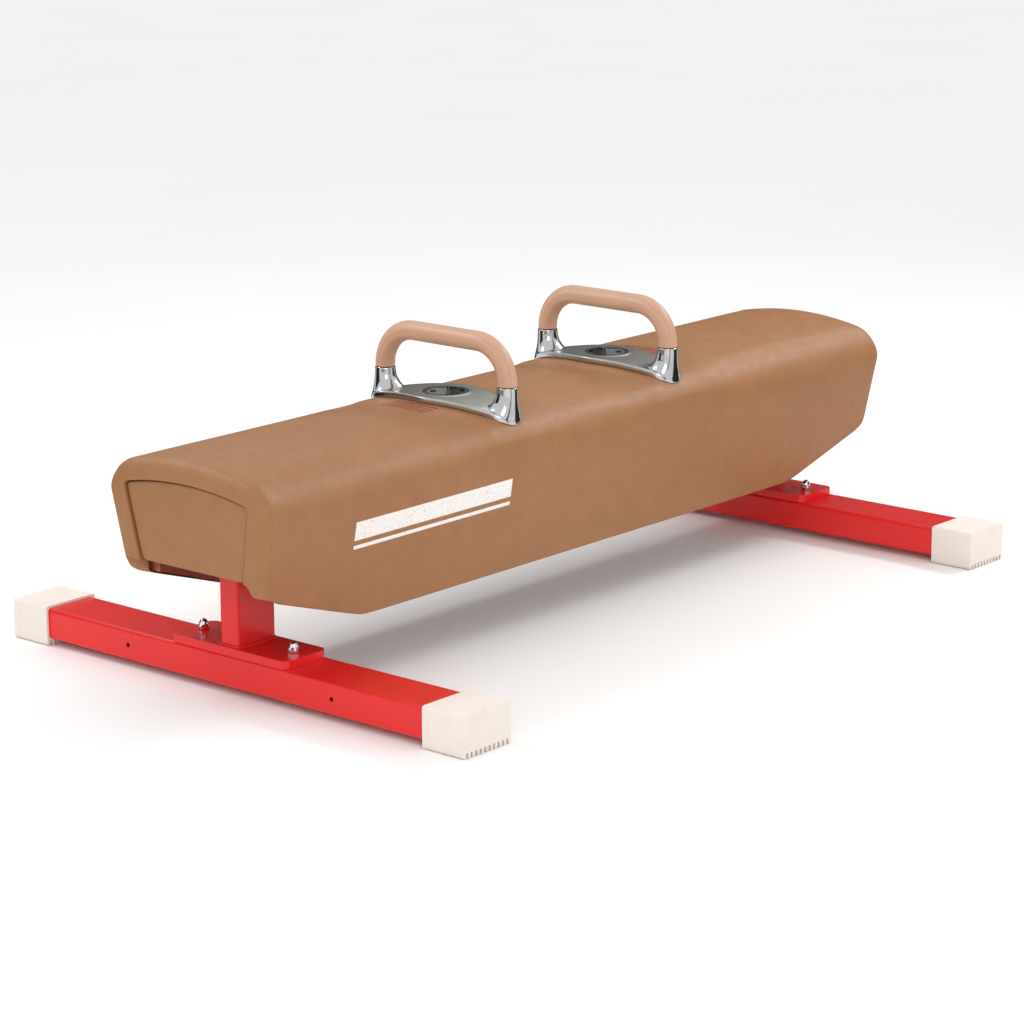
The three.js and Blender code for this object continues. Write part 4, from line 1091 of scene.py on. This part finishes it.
def floor():
    look = Look("pale_floor", Specular_IOR_Level=0.2)
    tone = look.patches(0.3, 0.7, 1.5, 3.0)
    look.color(look.mix(tone, grey(0.95), grey(0.93)))
    look.roughness(look.fit(tone, 0.0, 1.0, 0.75, 0.85))
    steps = np.linspace(-FLOOR_HALF, FLOOR_HALF, 9)
    points = [(x, y, FLOOR_Z) for x in steps for y in steps]
    made = new_object("studio_floor", points, grid_faces(len(steps), len(steps)), look.material)


def facing(place, target):
    """The turn of something at place that looks at target."""
    return (Vector(target) - Vector(place)).to_track_quat("-Z", "Y")


def area_light(name, place, target, size, power):
    light = bpy.data.lights.new(name, "AREA")
    light.shape = "RECTANGLE"
    light.size, light.size_y = size
    light.energy = power
    made = linked(name, light)
    made.location = place
    made.rotation_mode = "QUATERNION"
    made.rotation_quaternion = facing(place, target)


def dark_card(name, place, target, width, height, tone_level):
    """A card that only reflections see, which gives polished metal its dark bands."""
    look = Look(name, Roughness=0.9)
    tone = look.patches(0.0, 1.0, 2, 2.0)
    look.color(look.mix(tone, *(grey(tone_level * part) for part in CARD_TONES)))
    corners = [(x, y, 0) for x in (-width / 2, 0, width / 2) for y in (-height / 2, 0, height / 2)]
    move = Matrix.Translation(place) @ facing(place, target).to_matrix().to_4x4()
    made = new_object(name, [move @ Vector(c) for c in corners], grid_faces(3, 3), look.material)
    made.visible_camera = False
    made.visible_diffuse = False
    made.visible_shadow = False


def world():
    made = bpy.data.worlds.new("studio")
    made.use_nodes = True
    background = made.node_tree.nodes["Background"].inputs
    background["Color"].default_value = grey(1.0)
    background["Strength"].default_value = WORLD_STRENGTH
    bpy.context.scene.world = made


def studio():
    floor()
    world()
    area_light("key_softbox", (-3.2, -3.0, 2.0), AIM, (1.6, 1.6), 26)
    area_light("side_edge_softbox", (2.0, -0.65, 1.95), (-0.1, 0, 0.35), (1.5, 0.32), 21)
    area_light("end_edge_softbox", (-1.3, 1.7, 2.3), (-0.7, 0, 0.35), (1.2, 0.32), 17)
    dark_card("back_card", (1.0, 0.85, 0.5), (0, 0, 0.5), 3.0, 1.04, 0.11)
    dark_card("left_card", (-0.8, 0.95, 0.40), (0, 0, 0.40), 1.0, 0.8, 0.015)
    dark_card("right_card", (0.95, -0.80, 0.40), (0, 0, 0.40), 1.0, 0.8, 0.015)
    dark_card("front_card", (-0.35, -1.30, 0.30), (0, 0, 0.30), 0.16, 0.6, 0.015)
    bpy.context.scene.view_settings.view_transform = "Standard"


def camera():
    azimuth, elevation, roll = (math.radians(angle) for angle in CAMERA_ANGLES)
    data = bpy.data.cameras.new("view")
    data.sensor_width = SENSOR_WIDTH
    data.lens = CAMERA_LENS
    data.clip_end = 100
    back = Vector((math.sin(azimuth) * math.cos(elevation), -math.cos(azimuth) * math.cos(elevation),
                   math.sin(elevation)))  # from what the camera sees towards the camera
    side = Vector((math.cos(azimuth), math.sin(azimuth), 0))
    up = back.cross(side)
    right = side * math.cos(roll) + up * math.sin(roll)
    above = up * math.cos(roll) - side * math.sin(roll)
    made = linked("view", data)
    place = Matrix((right, above, back)).transposed().to_4x4()
    place.translation = CAMERA_PLACE
    made.matrix_world = place
    bpy.context.scene.camera = made


# ---------------------------------------------------------------- everything together

looks = make_looks()
leather_body(looks["leather"])
for end in ENDS:
    end_panel(end, looks["panel"])
    grip(end, looks["wood"])
    weld_bead(end, looks["paint"])
    for side in SIDES:
        domed_nut(f"{end}_{side}_dome_nut", looks["plating"])
place_saddles(looks["casting"])
finish_cad_nodes(looks)
studio()
camera()

bpy.context.view_layer.update()
